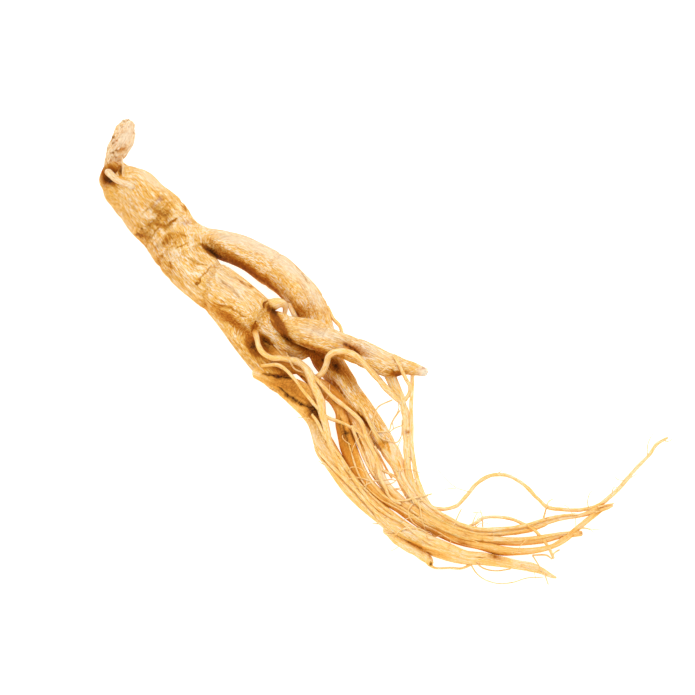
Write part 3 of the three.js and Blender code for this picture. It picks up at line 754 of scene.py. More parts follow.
@dataclass
class Surface:
    """A skin in millimetres: points, four- and three-sided faces, and each point's grain and stains."""

    points: np.ndarray
    quads: np.ndarray
    fans: np.ndarray
    grain: np.ndarray
    stains: dict[Stain, np.ndarray] = field(default_factory=dict)

    NEAR_TABLE = 1.5
    ROUNDING = 0.2
    SINKING = 0.006

    @property
    def faces(self) -> list[list[int]]:
        """All faces in one list."""
        return self.quads.tolist() + self.fans.tolist()

    @property
    def normals(self) -> np.ndarray:
        """Each point's outward direction, the sum of the face normals about it."""
        total = np.zeros_like(self.points)
        # A four-sided face is crossed by its diagonals, and a three-sided one by two of its edges.
        for faces, spans in ((self.quads, ((0, 2), (1, 3))), (self.fans, ((0, 1), (0, 2)))):
            corners = self.points[faces]
            facing = np.cross(*(corners[:, after] - corners[:, before] for before, after in spans))
            for column, axis in itertools.product(faces.T, range(3)):
                total[:, axis] += np.bincount(column, facing[:, axis], len(total))
        return total / (np.linalg.norm(total, axis=1, keepdims=True) + 1e-12)

    def stain(self, kind: Stain, amount: np.ndarray) -> None:
        """Adds an amount of one stain."""
        self.stains[kind] = self.stains.get(kind, np.zeros(len(self.points))) + amount

    def rest_on_table(self) -> None:
        """Flattens what is near or under the table: z = (z + sqrt(z^2 + ROUNDING^2)) / 2 - SINKING."""
        z = self.points[:, 2]
        rounded = (z + np.sqrt(z * z + self.ROUNDING**2)) / 2 - self.SINKING
        self.points[:, 2] = np.where(z < self.NEAR_TABLE, np.maximum(rounded, 0), z)

    @staticmethod
    def joined(surfaces: Iterable["Surface"]) -> "Surface":
        """Puts several surfaces in one: each one's faces are numbered on from the points before it.

        Args:
            surfaces: The surfaces.

        Returns:
            One surface, with every stain.
        """
        parts = list(surfaces)
        starts = np.cumsum([0] + [len(p.points) for p in parts[:-1]])
        stains = {kind: np.concatenate([p.stains.get(kind, np.zeros(len(p.points))) for p in parts])
                  for kind in Stain}
        return Surface(
            np.vstack([p.points for p in parts]),
            np.vstack([p.quads + s for p, s in zip(parts, starts)]),
            np.vstack([p.fans + s for p, s in zip(parts, starts)]),
            np.vstack([p.grain for p in parts]), stains,
        )


def sweep(course: Course, sides: int, swell: Callable | None = None, cap_rings: int = 6) -> Surface:
    """Carries a profile along a course and rounds off both of its ends.

    point = middle + reach * (flatness cos(angle) * normal + sin(angle) * side). Over an end cap, the
    middle moves on by 0.75 radius * sin(turn) and the radius shrinks as cos(turn).

    Args:
        course: The stations to follow.
        sides: Points round each ring.
        swell: Gives a factor on the radius from the length along and the angle.
        cap_rings: Rings on each cap.

    Returns:
        A closed surface whose faces point outwards.
    """
    turns = np.linspace(0, math.pi / 2, cap_rings + 2)[1:-1]
    last = len(course.middle) - 1
    index = np.concatenate([np.zeros(cap_rings, int), np.arange(last + 1), np.full(cap_rings, last)])
    turn = np.concatenate([-turns[::-1], np.zeros(last + 1), turns])
    radius = course.radius[index]
    reach_on = radius * course.CAP_REACH * np.sin(turn)
    middle = course.middle[index] + course.tangent[index] * reach_on[:, None]
    angle = np.linspace(0, 2 * math.pi, sides, endpoint=False)[None, :]
    along = course.along[index][:, None]
    reach = course.limb.reach(radius[:, None], along, angle) * np.cos(turn)[:, None]
    if swell is not None:
        reach = reach * swell(along + 0 * angle, angle + 0 * along)
    flat = course.limb.flatness
    out_normal, out_side = reach * np.cos(angle) * flat, reach * np.sin(angle)
    rings = middle[:, None] + out_normal[..., None] * course.normal[index][:, None]
    rings = rings + out_side[..., None] * course.side[index][:, None]
    grain = np.stack([along + reach_on[:, None] + 0 * angle, out_normal, out_side], axis=-1)
    tips = [course.middle[i] + sign * course.tangent[i] * course.radius[i] * course.CAP_REACH
            for i, sign in ((0, -1), (last, 1))]
    points = np.vstack([rings.reshape(-1, 3), tips])
    ring, column = np.meshgrid(np.arange(len(index) - 1), np.arange(sides), indexing="ij")
    a, b = ring * sides + column, ring * sides + (column + 1) % sides
    quads = np.stack([a, b, b + sides, a + sides], axis=-1).reshape(-1, 4)
    around = np.arange(sides)
    after = (around + 1) % sides
    base = (len(index) - 1) * sides
    first = np.stack([np.full(sides, len(points) - 2), after, around], axis=1)
    end = np.stack([np.full(sides, len(points) - 1), base + around, base + after], axis=1)
    tip_grain = [(course.along[i], 0, 0) for i in (0, last)]
    return Surface(points, quads, np.vstack([first, end]), np.vstack([grain.reshape(-1, 3), tip_grain]))


@dataclass(frozen=True)
class Wrinkles:
    """Wrinkles that run with the grain: valleys where a stretched noise crosses zero, in millimetres."""

    seed: int
    across: float
    along: float
    depth: float
    width: float = 0.24
    wander: float = 0.7

    def valleys(self, grain: np.ndarray) -> np.ndarray:
        """exp(-(noise / width)^2), where the noise's place wanders sideways with two slower noises.

        Args:
            grain: Points by their length along and their two places across the limb.

        Returns:
            1 along the bottom of each wrinkle and 0 on the ridges.
        """
        slow = grain / (self.along * 0.6, self.across * 2.2, self.across * 2.2)
        moved = grain.copy()
        moved[:, 1] += self.wander * Noise(self.seed + 1).at(slow)
        moved[:, 2] += self.wander * Noise(self.seed + 2).at(slow)
        value = Noise(self.seed).at(moved / (self.along, self.across, self.across))
        return np.exp(-(value / self.width) ** 2)


@dataclass(frozen=True)
class Hide:
    """The relief of one kind of skin: lumps, wrinkles with the grain and rings across it."""

    lumps: float
    lump_size: float
    wrinkles: tuple[Wrinkles, ...]
    rings: float = 0.0
    ring_gap: float = 1.7
    ring_zone: tuple[float, float] = (0.0, 1e3)
    seed: int = 7

    WRINKLE_SHADE = 0.9
    RING_SHADE = 2.2
    RING_WIDTH = 0.2
    ZONE_EDGE = 4
    OUTSIDE_ZONE = 0.12

    def relief(self, grain: np.ndarray) -> tuple[np.ndarray, np.ndarray]:
        """Sums lumps, wrinkles and rings; wrinkles are deeper in some places than in others.

        Args:
            grain: Points by their length along and their two places across the limb.

        Returns:
            The height over the smooth skin, and the shade painted in its hollows, from 0 to about 1.
        """
        size = self.lump_size
        height = self.lumps * Noise(self.seed).at(grain / (size * 1.5, size, size))
        hollow = np.zeros(len(grain))
        strength = 0.75 + 0.7 * Noise(self.seed + 1).at(grain / (11, 7, 7))
        for layer in self.wrinkles:
            valley = layer.valleys(grain) * np.clip(strength, 0.15, 1.3)
            height -= layer.depth * valley
            hollow += self.WRINKLE_SHADE * layer.depth * valley
        if self.rings:
            start, end = self.ring_zone
            zone = ease(grain[:, 0], start - self.ZONE_EDGE, start + self.ZONE_EDGE)
            zone = zone * ease(-grain[:, 0], -end - self.ZONE_EDGE, -end + self.ZONE_EDGE)
            zone = self.OUTSIDE_ZONE + (1 - self.OUTSIDE_ZONE) * zone
            value = Noise(self.seed + 2).at(grain / (self.ring_gap, 7, 7))
            patchy = np.clip(0.5 + 1.2 * Noise(self.seed + 3).at(grain / (5, 4, 4)), 0, 1)
            valley = np.exp(-(value / self.RING_WIDTH) ** 2) * zone * patchy
            height -= self.rings * valley
            hollow += self.RING_SHADE * self.rings * valley
        return height, hollow


@dataclass(frozen=True)
class ChangingHide:
    """A relief that passes from one kind of skin to another over a stretch of the limb."""

    first: Hide
    second: Hide
    start: float
    end: float

    def relief(self, grain: np.ndarray) -> tuple[np.ndarray, np.ndarray]:
        """Mixes the two reliefs by ease(length along, start, end).

        Args:
            grain: Points by their length along and their two places across the limb.

        Returns:
            The height over the smooth skin, and the shade painted in its hollows.
        """
        share = ease(grain[:, 0], self.start, self.end)
        first, second = self.first.relief(grain), self.second.relief(grain)
        return tuple(a * (1 - share) + b * share for a, b in zip(first, second))


SKIN = Hide(
    lumps=0.45, lump_size=9,
    wrinkles=(Wrinkles(11, 2.6, 17, 0.13), Wrinkles(21, 1.3, 7, 0.1, 0.28, 0.4)),
    rings=0.1, ring_zone=(22, 48), seed=7,
)
LEG_SKIN = replace(
    SKIN, rings=0.05, ring_zone=(0, 1e3), lumps=0.3,
    wrinkles=(Wrinkles(11, 2.6, 17, 0.09), Wrinkles(21, 1.3, 7, 0.08, 0.28, 0.4)),
)
TAIL_SKIN = Hide(
    lumps=0.2, lump_size=7,
    wrinkles=(Wrinkles(31, 2.2, 34, 0.18, 0.24, 0.5), Wrinkles(41, 1.2, 14, 0.07, 0.28, 0.4)), seed=9,
)
ROOTLET_SKIN = Hide(lumps=0.08, lump_size=3, wrinkles=(Wrinkles(51, 0.9, 12, 0.05, 0.3, 0.2),), seed=13)
NECK_SKIN = Hide(
    lumps=0.35, lump_size=3.4,
    wrinkles=(Wrinkles(61, 1.1, 8, 0.2, 0.3, 0.5), Wrinkles(71, 1.9, 3, 0.16, 0.16, 0.6)), seed=17,
)
RIGHT_SKIN = ChangingHide(LEG_SKIN, TAIL_SKIN, 123.7, 155.7)
MAIN_SKIN = ChangingHide(SKIN, TAIL_SKIN, 96, 122)


def crowding(points: np.ndarray, others: Iterable[Course], reach: float = 1.7) -> np.ndarray:
    """How closed in points are, for painted shade: the sum of exp(-height over each other limb's skin /
    reach), up to 1.

    Args:
        points: Points in millimetres.
        others: The limbs beside them.
        reach: How far a limb's shade goes.

    Returns:
        0 for open skin, and 1 where it is closed in.
    """
    total = np.zeros(len(points))
    for other in others:
        total += np.exp(-np.maximum(other.measure(points).height, 0) / reach)
    return np.minimum(total, 1)


MARK_DRIFT = 0.45
DRIFT_SIZE = 1.6
DRIFT_SEEDS = (301, 302)
# The key light's direction, for the shade painted on the flanks that face away from it.
SUN = np.array([0.24, 0.51, 0.82])
SIGHT_STEPS = 48
SIGHT_CAUTION = 0.9


def apply_marks(surface: Surface, marks: Iterable[Mark] = (), folds: Iterable[Fold] = ()) -> None:
    """Stains the skin that faces the viewer with each mark, and folds it in along each fold with shade
    painted in it.

    Noise moves each point by up to MARK_DRIFT first, so that no outline is smooth.

    Args:
        surface: The skin.
        marks: The marks that it takes, besides those that any skin takes.
        folds: The folds that it takes.
    """
    normals = surface.normals
    facing = ease(normals @ DRAWING.toward_viewer, -0.15, 0.35)
    drawn = DRAWING.read(surface.points)
    drift = [Noise(seed).at(surface.points / DRIFT_SIZE) for seed in DRIFT_SEEDS]
    drawn += MARK_DRIFT * np.stack(drift, axis=1)
    for mark in (*MARKS, *marks):
        surface.stain(mark.stain, mark.amount(drawn) * facing)
    for fold in folds:
        amount = fold.amount(drawn) * facing
        surface.points -= normals * (fold.depth * amount)[:, None]
        # Shade is painted in the fold, near black where it is deepest.
        surface.stain(Stain.HOLLOW, fold.shade * amount)
        surface.stain(Stain.CLEFT, fold.cleft * amount)


def brown_flanks(surface: Surface, most: float = 0.2) -> None:
    """Paints shade on the skin that faces away from the key light: most * ease(-(normal . key light),
    -0.4, 0.5).
    """
    surface.stain(Stain.HOLLOW, most * ease(-(surface.normals @ SUN), -0.4, 0.5))


def wrinkle(surface: Surface, hide: Hide | ChangingHide, shift: float = 0.0, ahead: float = 0.0) -> None:
    """Raises and sinks a surface along its normals by the skin's relief, and paints shade in its hollows.

    Args:
        surface: The smooth surface.
        hide: The relief.
        shift: Moves the relief's noise sideways, so that no two limbs match.
        ahead: The length at which the grain starts.
    """
    surface.grain = surface.grain + (ahead, shift, shift)
    height, hollow = hide.relief(surface.grain)
    surface.points += surface.normals * height[:, None]
    surface.stain(Stain.HOLLOW, hollow)


def skin_heights(drawn: np.ndarray, limbs: list[Course], top: float = 30.0) -> np.ndarray:
    """Follows each line of sight down until it meets a limb's skin or the table.

    Each step goes down by the height over the nearest skin times sin(slant) and SIGHT_CAUTION.

    Args:
        drawn: Points as right and down.
        limbs: The limbs that may be in the way.
        top: Where the lines start.

    Returns:
        The height of each point that is met.
    """
    height = np.full(len(drawn), top)
    for _ in range(SIGHT_STEPS):
        points = DRAWING.place(np.column_stack([drawn, height]))
        over = np.min([limb.measure(points).height for limb in limbs], axis=0)
        fall = np.maximum(over, 0) * math.sin(DRAWING.slant) * SIGHT_CAUTION
        height = np.clip(height - fall, 0, top)
    return height


# Finishes

def linear(code: str) -> tuple[float, float, float, float]:
    """Turns an sRGB hex colour to linear light."""
    shares = [int(code[i:i + 2], 16) / 255 for i in (1, 3, 5)]
    return (*[s / 12.92 if s <= 0.04045 else ((s + 0.055) / 1.055) ** 2.4 for s in shares], 1.0)


def add_node(tree: bpy.types.NodeTree, kind: str, settings: dict | None = None,
             inputs: dict | tuple = (), output: int | str = 0) -> bpy.types.NodeSocket | None:
    """Adds a node with its settings and its inputs' values and links.

    Args:
        tree: The node tree.
        kind: The node's type name, without ShaderNode in front.
        settings: Values of the node's own properties.
        inputs: Values or output sockets, in the inputs' order or by their names or numbers.
        output: The output that is wanted, by its number or name.

    Returns:
        That output, or None for a node that has none.
    """
    node = tree.nodes.new("ShaderNode" + kind)
    for name, value in (settings or {}).items():
        setattr(node, name, value)
    for name, value in (inputs if isinstance(inputs, dict) else dict(enumerate(inputs))).items():
        if isinstance(value, bpy.types.NodeSocket):
            tree.links.new(value, node.inputs[name])
        else:
            node.inputs[name].default_value = value
    return node.outputs[output] if node.outputs else None


def blank_material(name: str) -> bpy.types.Material:
    """Makes a material with an empty node tree.

    Args:
        name: The material's name.

    Returns:
        The material.
    """
    material = bpy.data.materials.new(name)
    material.use_nodes = True
    material.node_tree.nodes.clear()
    return material


ADD, SUBTRACT, MULTIPLY = ({"operation": name} for name in ("ADD", "SUBTRACT", "MULTIPLY"))
EASED = {"interpolation_type": "SMOOTHSTEP"}


@dataclass(frozen=True)
class DriedSkin:
    """Dried ginseng skin: thin cork over starchy flesh, shrunk into wrinkles as it dried in the sun.

    The eye gets waxy cream ridges between fine golden lines that run with the grain, orange-brown painted
    shade in the hollows, soil in the folds and rust where it was bruised. Patterns are in millimetres of
    the grain.
    """

    name: str = "dried_ginseng_skin"
    cream: str = "#FBECD6"
    straw: str = "#F6CA70"
    ochre: str = "#EEAA3C"
    line: str = "#CE7C24"
    # The painted shade in the hollows, and the orange-brown of a few spots.
    hollow: str = "#A0520C"
    # Soil, also the colour of the shade painted on the legs and in the pit.
    soil: str = "#8A4A14"
    bruise: str = "#B45E14"
    # Bare pale skin, also the colour of the painted highlight on the upper edges.
    bare: str = "#F8E9D2"
    # Near black, for the shade painted in the deepest clefts.
    cleft: str = "#3C1C06"
    wrinkle_across: float = 1.35
    wrinkle_along: float = 9.0
    crackle_across: float = 0.54
    crackle_along: float = 3.8
    fibre_across: float = 0.27
    fibre_along: float = 2.6
    ring_gap: float = 1.3
    ring_length: float = 5.0
    blotch: float = 12.0
    tone: float = 0.23
    evenness: float = 0.0
    relief: float = 0.18
    roughness: float = 0.62
    glow: float = 0.16

    def build(self) -> bpy.types.Material:
        """Builds the material, whose noises are turned into three sums.

        The tone picks the colour between line and cream, the hidden share lets the stains in, and the
        relief is the bump's height.

        Returns:
            The material, which reads the mesh's grain and its stains.
        """
        material = blank_material(self.name)
        tree = material.node_tree
        grain = add_node(tree, "Attribute", {"attribute_name": "grain"}, output="Vector")
        place = add_node(tree, "TexCoord", output="Object")

        # Each noise by its source, its size along and across the grain, its detail and its distortion.
        patterns = {
            "wrinkle": (grain, self.wrinkle_along, self.wrinkle_across, 2, 0.35),
            "crackle": (grain, self.crackle_along, self.crackle_across, 1, 0.2),
            "ring": (grain, self.ring_gap, self.ring_length, 1, 0.3),
            "fibre": (grain, self.fibre_along, self.fibre_across, 2, 0),
            "streak": (grain, 1.6 * self.wrinkle_along, 1.4 * self.wrinkle_across, 3, 0),
            "blotch": (place, self.blotch * MM, self.blotch * MM, 3, 0),
            "speck": (place, 1.3 * MM, 1.3 * MM, 1, 0),
        }
        noise = {}
        for name, (source, along, across, detail, distortion) in patterns.items():
            scaled = add_node(tree, "VectorMath", MULTIPLY, (source, (1 / along, 1 / across, 1 / across)))
            noise[name] = add_node(tree, "TexNoise", inputs={
                "Vector": scaled, "Scale": 1.0, "Detail": detail, "Distortion": distortion})
        # A wrinkle lies where its noise crosses the middle, and a ridge where it is far from it.
        for name in ("wrinkle", "crackle", "ring"):
            off_middle = add_node(tree, "Math", SUBTRACT, (noise[name], 0.5))
            noise[name] = add_node(tree, "Math", {"operation": "ABSOLUTE"}, (off_middle,))

        for kind in (Stain.HOLLOW, Stain.SOIL, Stain.CLEFT):
            noise[kind.value] = add_node(tree, "Attribute", {"attribute_name": kind.value}, output="Fac")
        # Each sum's parts: the noise, two of its values, and what they add. Soil and shade lie in the
        # lines and rings first and on the ridges last, which is what the hidden share is for.
        calm = 1 - self.evenness
        sums = {"tone": self.tone, "hidden": 0.0, "relief": 0.0}
        for total, name, low, high, least, most in (
            ("tone", "wrinkle", 0.0, 0.07, 0.12 * self.evenness, 0.12),
            ("tone", "crackle", 0.0, 0.07, 0.36 * self.evenness, 0.36),
            # The painted shade and the soil move the tone down towards the line colour.
            ("tone", "hollow", 0.0, 1.0, 0.0, -0.55), ("tone", "soil", 0.0, 1.0, 0.0, -0.5),
            ("tone", "cleft", 0.0, 0.4, 0.0, -0.5), ("tone", "blotch", 0.3, 0.7, -0.08, 0.08),
            ("tone", "streak", 0.3, 0.7, -0.07 * calm, 0.07 * calm),
            ("tone", "fibre", 0.3, 0.7, -0.18 * calm, 0.18 * calm),
            ("hidden", "crackle", 0.0, 0.08, 0.4, 0.0), ("hidden", "ring", 0.0, 0.09, 0.45, 0.0),
            ("hidden", "fibre", 0.35, 0.65, 0.4, 0.0),
            ("relief", "wrinkle", 0.0, 0.1, 0.0, 1.0), ("relief", "crackle", 0.0, 0.1, 0.0, 0.5),
            ("relief", "fibre", 0.2, 0.8, 0.0, 0.3),
        ):
            part = add_node(tree, "MapRange", EASED, (noise[name], low, high, least, most))
            sums[total] = add_node(tree, "Math", ADD, (part, sums[total]))
        colour = add_node(tree, "ValToRGB", inputs=(sums["tone"],))
        stops = colour.node.color_ramp.elements
        stops[0].position, stops[0].color = 0.05, linear(self.line)
        stops[1].position, stops[1].color = 0.82, linear(self.cream)
        for position, shade in ((0.3, self.ochre), (0.58, self.straw)):
            stops.new(position).color = linear(shade)

        # Each layer's stain, colour and evenness: an even layer doesn't need the hidden share.
        specks = add_node(tree, "MapRange", EASED, (noise["speck"], 0.72, 0.78, 0.0, 0.5))
        layers = [(specks, self.bruise)]
        for kind, shade, even in ((Stain.BARE, self.bare, 0.9), (Stain.BRUISE, self.bruise, 0.5),
                                  (Stain.HOLLOW, self.hollow, 0.5), (Stain.SOIL, self.soil, 0.4),
                                  (Stain.CLEFT, self.cleft, 0.45)):
            amount = add_node(tree, "Attribute", {"attribute_name": kind.value}, output="Fac")
            multiply_add = {"operation": "MULTIPLY_ADD"}
            broken = add_node(tree, "Math", multiply_add, (sums["hidden"], 1.5 * (1 - even), even))
            share = add_node(tree, "Math", MULTIPLY | {"use_clamp": True}, (amount, broken))
            layers.append((share, shade))
        for share, shade in layers:
            mixed = {0: share, 6: colour, 7: linear(shade)}
            colour = add_node(tree, "Mix", {"data_type": "RGBA"}, mixed, 2)

        bump = add_node(tree, "Bump", inputs={
            "Strength": 1.0, "Distance": self.relief * MM, "Height": sums["relief"]})
        rough = self.roughness
        gloss = add_node(tree, "MapRange", inputs=(noise["streak"], 0.3, 0.7, rough - 0.08, rough + 0.12))
        shader = add_node(tree, "BsdfPrincipled", inputs={
            "Base Color": colour, "Roughness": gloss, "Normal": bump, "Specular IOR Level": 0.06,
            "Subsurface Weight": self.glow, "Subsurface Radius": (1.0, 0.7, 0.45),
            "Subsurface Scale": 1.0 * MM})
        add_node(tree, "OutputMaterial", inputs=(shader,))
        return material


SKIN_FINISH = DriedSkin()
TAIL_FINISH = DriedSkin(
    name="dried_tail_skin", cream="#F6E6CE", straw="#F6D088", ochre="#F4BC5C", line="#EEA644",
    hollow="#D08628", wrinkle_across=1.3, wrinkle_along=14.0, crackle_across=0.7, crackle_along=5.5,
    fibre_across=0.28, evenness=0.48, relief=0.05, glow=0.25,
)
ROOTLET_FINISH = DriedSkin(
    name="dried_rootlet_skin", cream="#F6E4C2", straw="#F6CE82", ochre="#F4BA58", line="#E8A03E",
    hollow="#D08428", wrinkle_across=0.9, wrinkle_along=8.0, crackle_across=0.5, crackle_along=3.4,
    fibre_across=0.2, evenness=0.25, relief=0.05, glow=0.25,
)
NECK_FINISH = DriedSkin(
    name="dried_stem_stub", cream="#FBEBD2", straw="#F8D8A8", ochre="#F0BE7C", line="#D8964A",
    hollow="#BE7830", soil="#6A3E1A", bruise="#C67A2C", bare="#F8E6CC",
    wrinkle_across=1.0, wrinkle_along=6.0, crackle_across=0.5, crackle_along=2.4,
    fibre_across=0.22, relief=0.16, roughness=0.8, glow=0.05,
)
HAIR_FINISH = DriedSkin(
    name="dried_root_hair", cream="#FAE0B2", straw="#F6CE8A", ochre="#EEB866", line="#DE9E4A",
    wrinkle_across=0.6, wrinkle_along=5.0, crackle_across=0.3, relief=0.02, glow=0.15,
)


# Pieces

def mesh_of(name: str, points: np.ndarray, faces: list[list[int]]) -> bpy.types.Mesh:
    """Makes a mesh from points in metres and faces."""
    mesh = bpy.data.meshes.new(name)
    mesh.from_pydata(points.tolist(), [], faces)
    return mesh


def add_object(name: str, data: bpy.types.ID) -> bpy.types.Object:
    """Adds an object to the scene that shows a mesh, a light or a camera.

    Args:
        name: The object's name.
        data: The mesh, light or camera.

    Returns:
        The object, at the origin.
    """
    added = bpy.data.objects.new(name, data)
    bpy.context.scene.collection.objects.link(added)
    return added


class Piece:
    """Makes a surface a Blender object that rides on the root."""

    def __init__(self, name: str, finish: bpy.types.Material) -> None:
        """Keeps the piece's name and its material."""
        self.name = name
        self.finish = finish

    def surface(self) -> Surface:
        """The piece's surface, which each piece works out for itself."""
        raise NotImplementedError

    def make(self) -> None:
        """Puts the surface in a mesh in metres, with its grain and stains, and dresses it."""
        surface = self.surface()
        # Shade is painted on the flanks that face away from the key light.
        brown_flanks(surface)
        surface.rest_on_table()
        mesh = mesh_of(self.name, surface.points * MM, surface.faces)
        mesh.polygons.foreach_set("use_smooth", np.ones(len(mesh.polygons), bool))
        grain = mesh.attributes.new("grain", "FLOAT_VECTOR", "POINT")
        grain.data.foreach_set("vector", surface.grain.astype(np.float32).ravel())
        for kind in Stain:
            amount = np.clip(surface.stains.get(kind, np.zeros(len(surface.points))), 0, 1)
            stain = mesh.attributes.new(kind.value, "FLOAT", "POINT")
            stain.data.foreach_set("value", amount.astype(np.float32))
        mesh.update()
        mesh.materials.append(self.finish)
        piece = add_object(self.name, mesh)
        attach(piece, BODY_NAME)
        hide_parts(NODE_NAME)
        triangles = 2 * len(surface.quads) + len(surface.fans)
        LOG.info("%s: %d triangles, top %.1f mm", self.name, triangles, surface.points[:, 2].max())


@dataclass(frozen=True)
class Grown:
    """A limb's course with its relief, how far its noise is moved, and the length its grain starts at."""

    course: Course
    hide: Hide | ChangingHide
    shift: float
    ahead: float = 0.0

    def part(self, start: float, end: float, thin_start: float = 1.0, thin_end: float = 1.0) -> "Grown":
        """Takes a stretch of the limb."""
        return replace(self, course=self.course.cut(start, end, thin_start, thin_end))


@dataclass(frozen=True)
class Join:
    """Where a leg goes on from the body's own skin: from this length on, with this overlap."""

    at: float
    overlap: float = 8.0


JOINS = {"third_leg": Join(46), "main_tail": Join(24), "right_tail": Join(40)}


@dataclass(frozen=True)
class CrownPit:
    """The pit that the neck rises from: its drawn middle, axis, radius and depth, and the rim about it."""

    middle: tuple[float, float, float] = (4.4, 22.8, 15.2)
    axis: tuple[float, float, float] = (-0.15, 0.45, 0.88)
    radius: float = 3.1
    depth: float = 2.8
    rim_height: float = 0.7
    rim_at: float = 1.3
    rim_width: float = 0.32

    def sink(self, surface: Surface) -> None:
        """Moves the crown's skin by rim_height exp(-((r - rim_at) / rim_width)^2) - depth exp(-r^4).

        r is the distance from the axis over the pit's radius, and the move is along the axis.

        Args:
            surface: The skin, which gets painted shade and soil in the pit and rust on the rim.
        """
        axis = np.array(self.axis)
        offset = surface.points - DRAWING.place(np.array(self.middle))
        rise = offset @ axis
        reach = np.linalg.norm(offset - rise[:, None] * axis, axis=1) / self.radius
        near = ease(rise, -5, -2)
        pit = np.exp(-reach**4) * near
        rim = np.exp(-(((reach - self.rim_at) / self.rim_width) ** 2)) * near
        surface.points += axis * (self.rim_height * rim - self.depth * pit)[:, None]
        # Shade and soil are painted in the pit, and rust on the rim.
        surface.stain(Stain.HOLLOW, 1.1 * pit)
        surface.stain(Stain.SOIL, 0.8 * pit)
        surface.stain(Stain.BRUISE, 0.6 * rim)


class RootBody(Piece):
    """The body, the right leg and the tops of the other legs, in one skin that runs on at the forks."""

    VOXEL = 0.445
    BLEND = 2.0
    SIDES = 48
    SETTLINGS = 4
    LEAST_SLOPE = 0.3
    RELIEF_REACH = 0.7
    GRAIN_REACH = 2.6
    LEAST_SHARE = 0.01
    CREASE_SHADE = 0.25
    THIN_END = 0.8

    def __init__(self, finish: bpy.types.Material, limbs: dict[str, Grown]) -> None:
        """Takes the limbs that grow together, each up to its join.

        Args:
            finish: The skin's material.
            limbs: All limbs by name.
        """
        super().__init__("root_body", finish)
        self.limbs = [limbs["body"], limbs["right_leg"]]
        for name, join in JOINS.items():
            self.limbs.append(limbs[name].part(0, join.at + join.overlap, thin_end=self.THIN_END))

    def grown_together(self) -> tuple[np.ndarray, np.ndarray]:
        """Joins the swept limbs in one closed mesh with even faces, by a voxel remesh.

        Returns:
            Its points in millimetres and its four-sided faces.
        """
        rough = Surface.joined(sweep(limb.course, self.SIDES) for limb in self.limbs)
        mesh = mesh_of("rough", rough.points * MM, rough.faces)
        source = add_object("rough", mesh)
        remesh = source.modifiers.new("grown", "REMESH")
        remesh.mode = "VOXEL"
        remesh.voxel_size = self.VOXEL * MM
        made = source.evaluated_get(bpy.context.evaluated_depsgraph_get()).to_mesh()
        points = np.empty(len(made.vertices) * 3)
        made.vertices.foreach_get("co", points)
        corners = np.empty(len(made.loops), np.int32)
        made.loops.foreach_get("vertex_index", corners)
        bpy.data.objects.remove(source)
        bpy.data.meshes.remove(mesh)
        return points.reshape(-1, 3) / MM, corners.reshape(-1, 4).astype(int)

    def blended(self, readings: list[Reading]) -> tuple[np.ndarray, np.ndarray]:
        """Folds the heights into one by min(a, b) - h^2 BLEND / 4.

        h is max(BLEND - |a - b|, 0) / BLEND.

        Args:
            readings: The points' readings by each limb.

        Returns:
            The height over the joined skin, and its gradient.
        """
        height, slope = readings[0].height, readings[0].outward
        for reading in readings[1:]:
            overlap = np.maximum(self.BLEND - np.abs(height - reading.height), 0) / self.BLEND
            share = np.where(reading.height < height, 1 - overlap / 2, overlap / 2)[:, None]
            height = np.minimum(height, reading.height) - overlap**2 * self.BLEND / 4
            slope = slope * (1 - share) + reading.outward * share
        return height, slope

    @staticmethod
    def shares(readings: list[Reading], reach: float) -> np.ndarray:
        """Each limb's share in each point: exp(-height over its skin / reach), over their sum."""
        closeness = np.stack([np.exp(-np.maximum(r.height, 0) / reach) for r in readings])
        return closeness / closeness.sum(axis=0)

    def surface(self) -> Surface:
        """Settles the remeshed points on the blended skin, then wrinkles and stains it.

        Each settling moves a point by height * slope / slope^2. A limb's relief counts by its share.

        Returns:
            The skin of the joined limbs.
        """
        points, quads = self.grown_together()
        for _ in range(self.SETTLINGS):
            height, slope = self.blended([limb.course.measure(points) for limb in self.limbs])
            step = height / np.maximum((slope**2).sum(axis=1), self.LEAST_SLOPE)
            points = points - slope * step[:, None]
        readings = [limb.course.measure(points) for limb in self.limbs]
        shares, wide = (self.shares(readings, reach) for reach in (self.RELIEF_REACH, self.GRAIN_REACH))
        grains = [reading.grain + (limb.ahead, limb.shift, limb.shift)
                  for reading, limb in zip(readings, self.limbs)]
        grain = sum(share[:, None] * own for share, own in zip(wide, grains))
        surface = Surface(points, quads, np.empty((0, 3), int), grain)
        normals = surface.normals
        relief, hollow = np.zeros(len(points)), np.zeros(len(points))
        for limb, share, own, reading in zip(self.limbs, shares, grains, readings):
            near = share > self.LEAST_SHARE
            height, valley = limb.hide.relief(own[near])
            creases = limb.course.limb.groove(reading.along[near], reading.angle[near])
            valley += self.CREASE_SHADE * creases
            relief[near] += share[near] * height
            hollow[near] += share[near] * valley
        surface.points = points + normals * relief[:, None]
        # Shade is painted in the hollows of the wrinkles and creases.
        surface.stain(Stain.HOLLOW, hollow)
        CrownPit().sink(surface)
        apply_marks(surface, LEG_MARKS, FOLDS + CREVICES)
        return surface


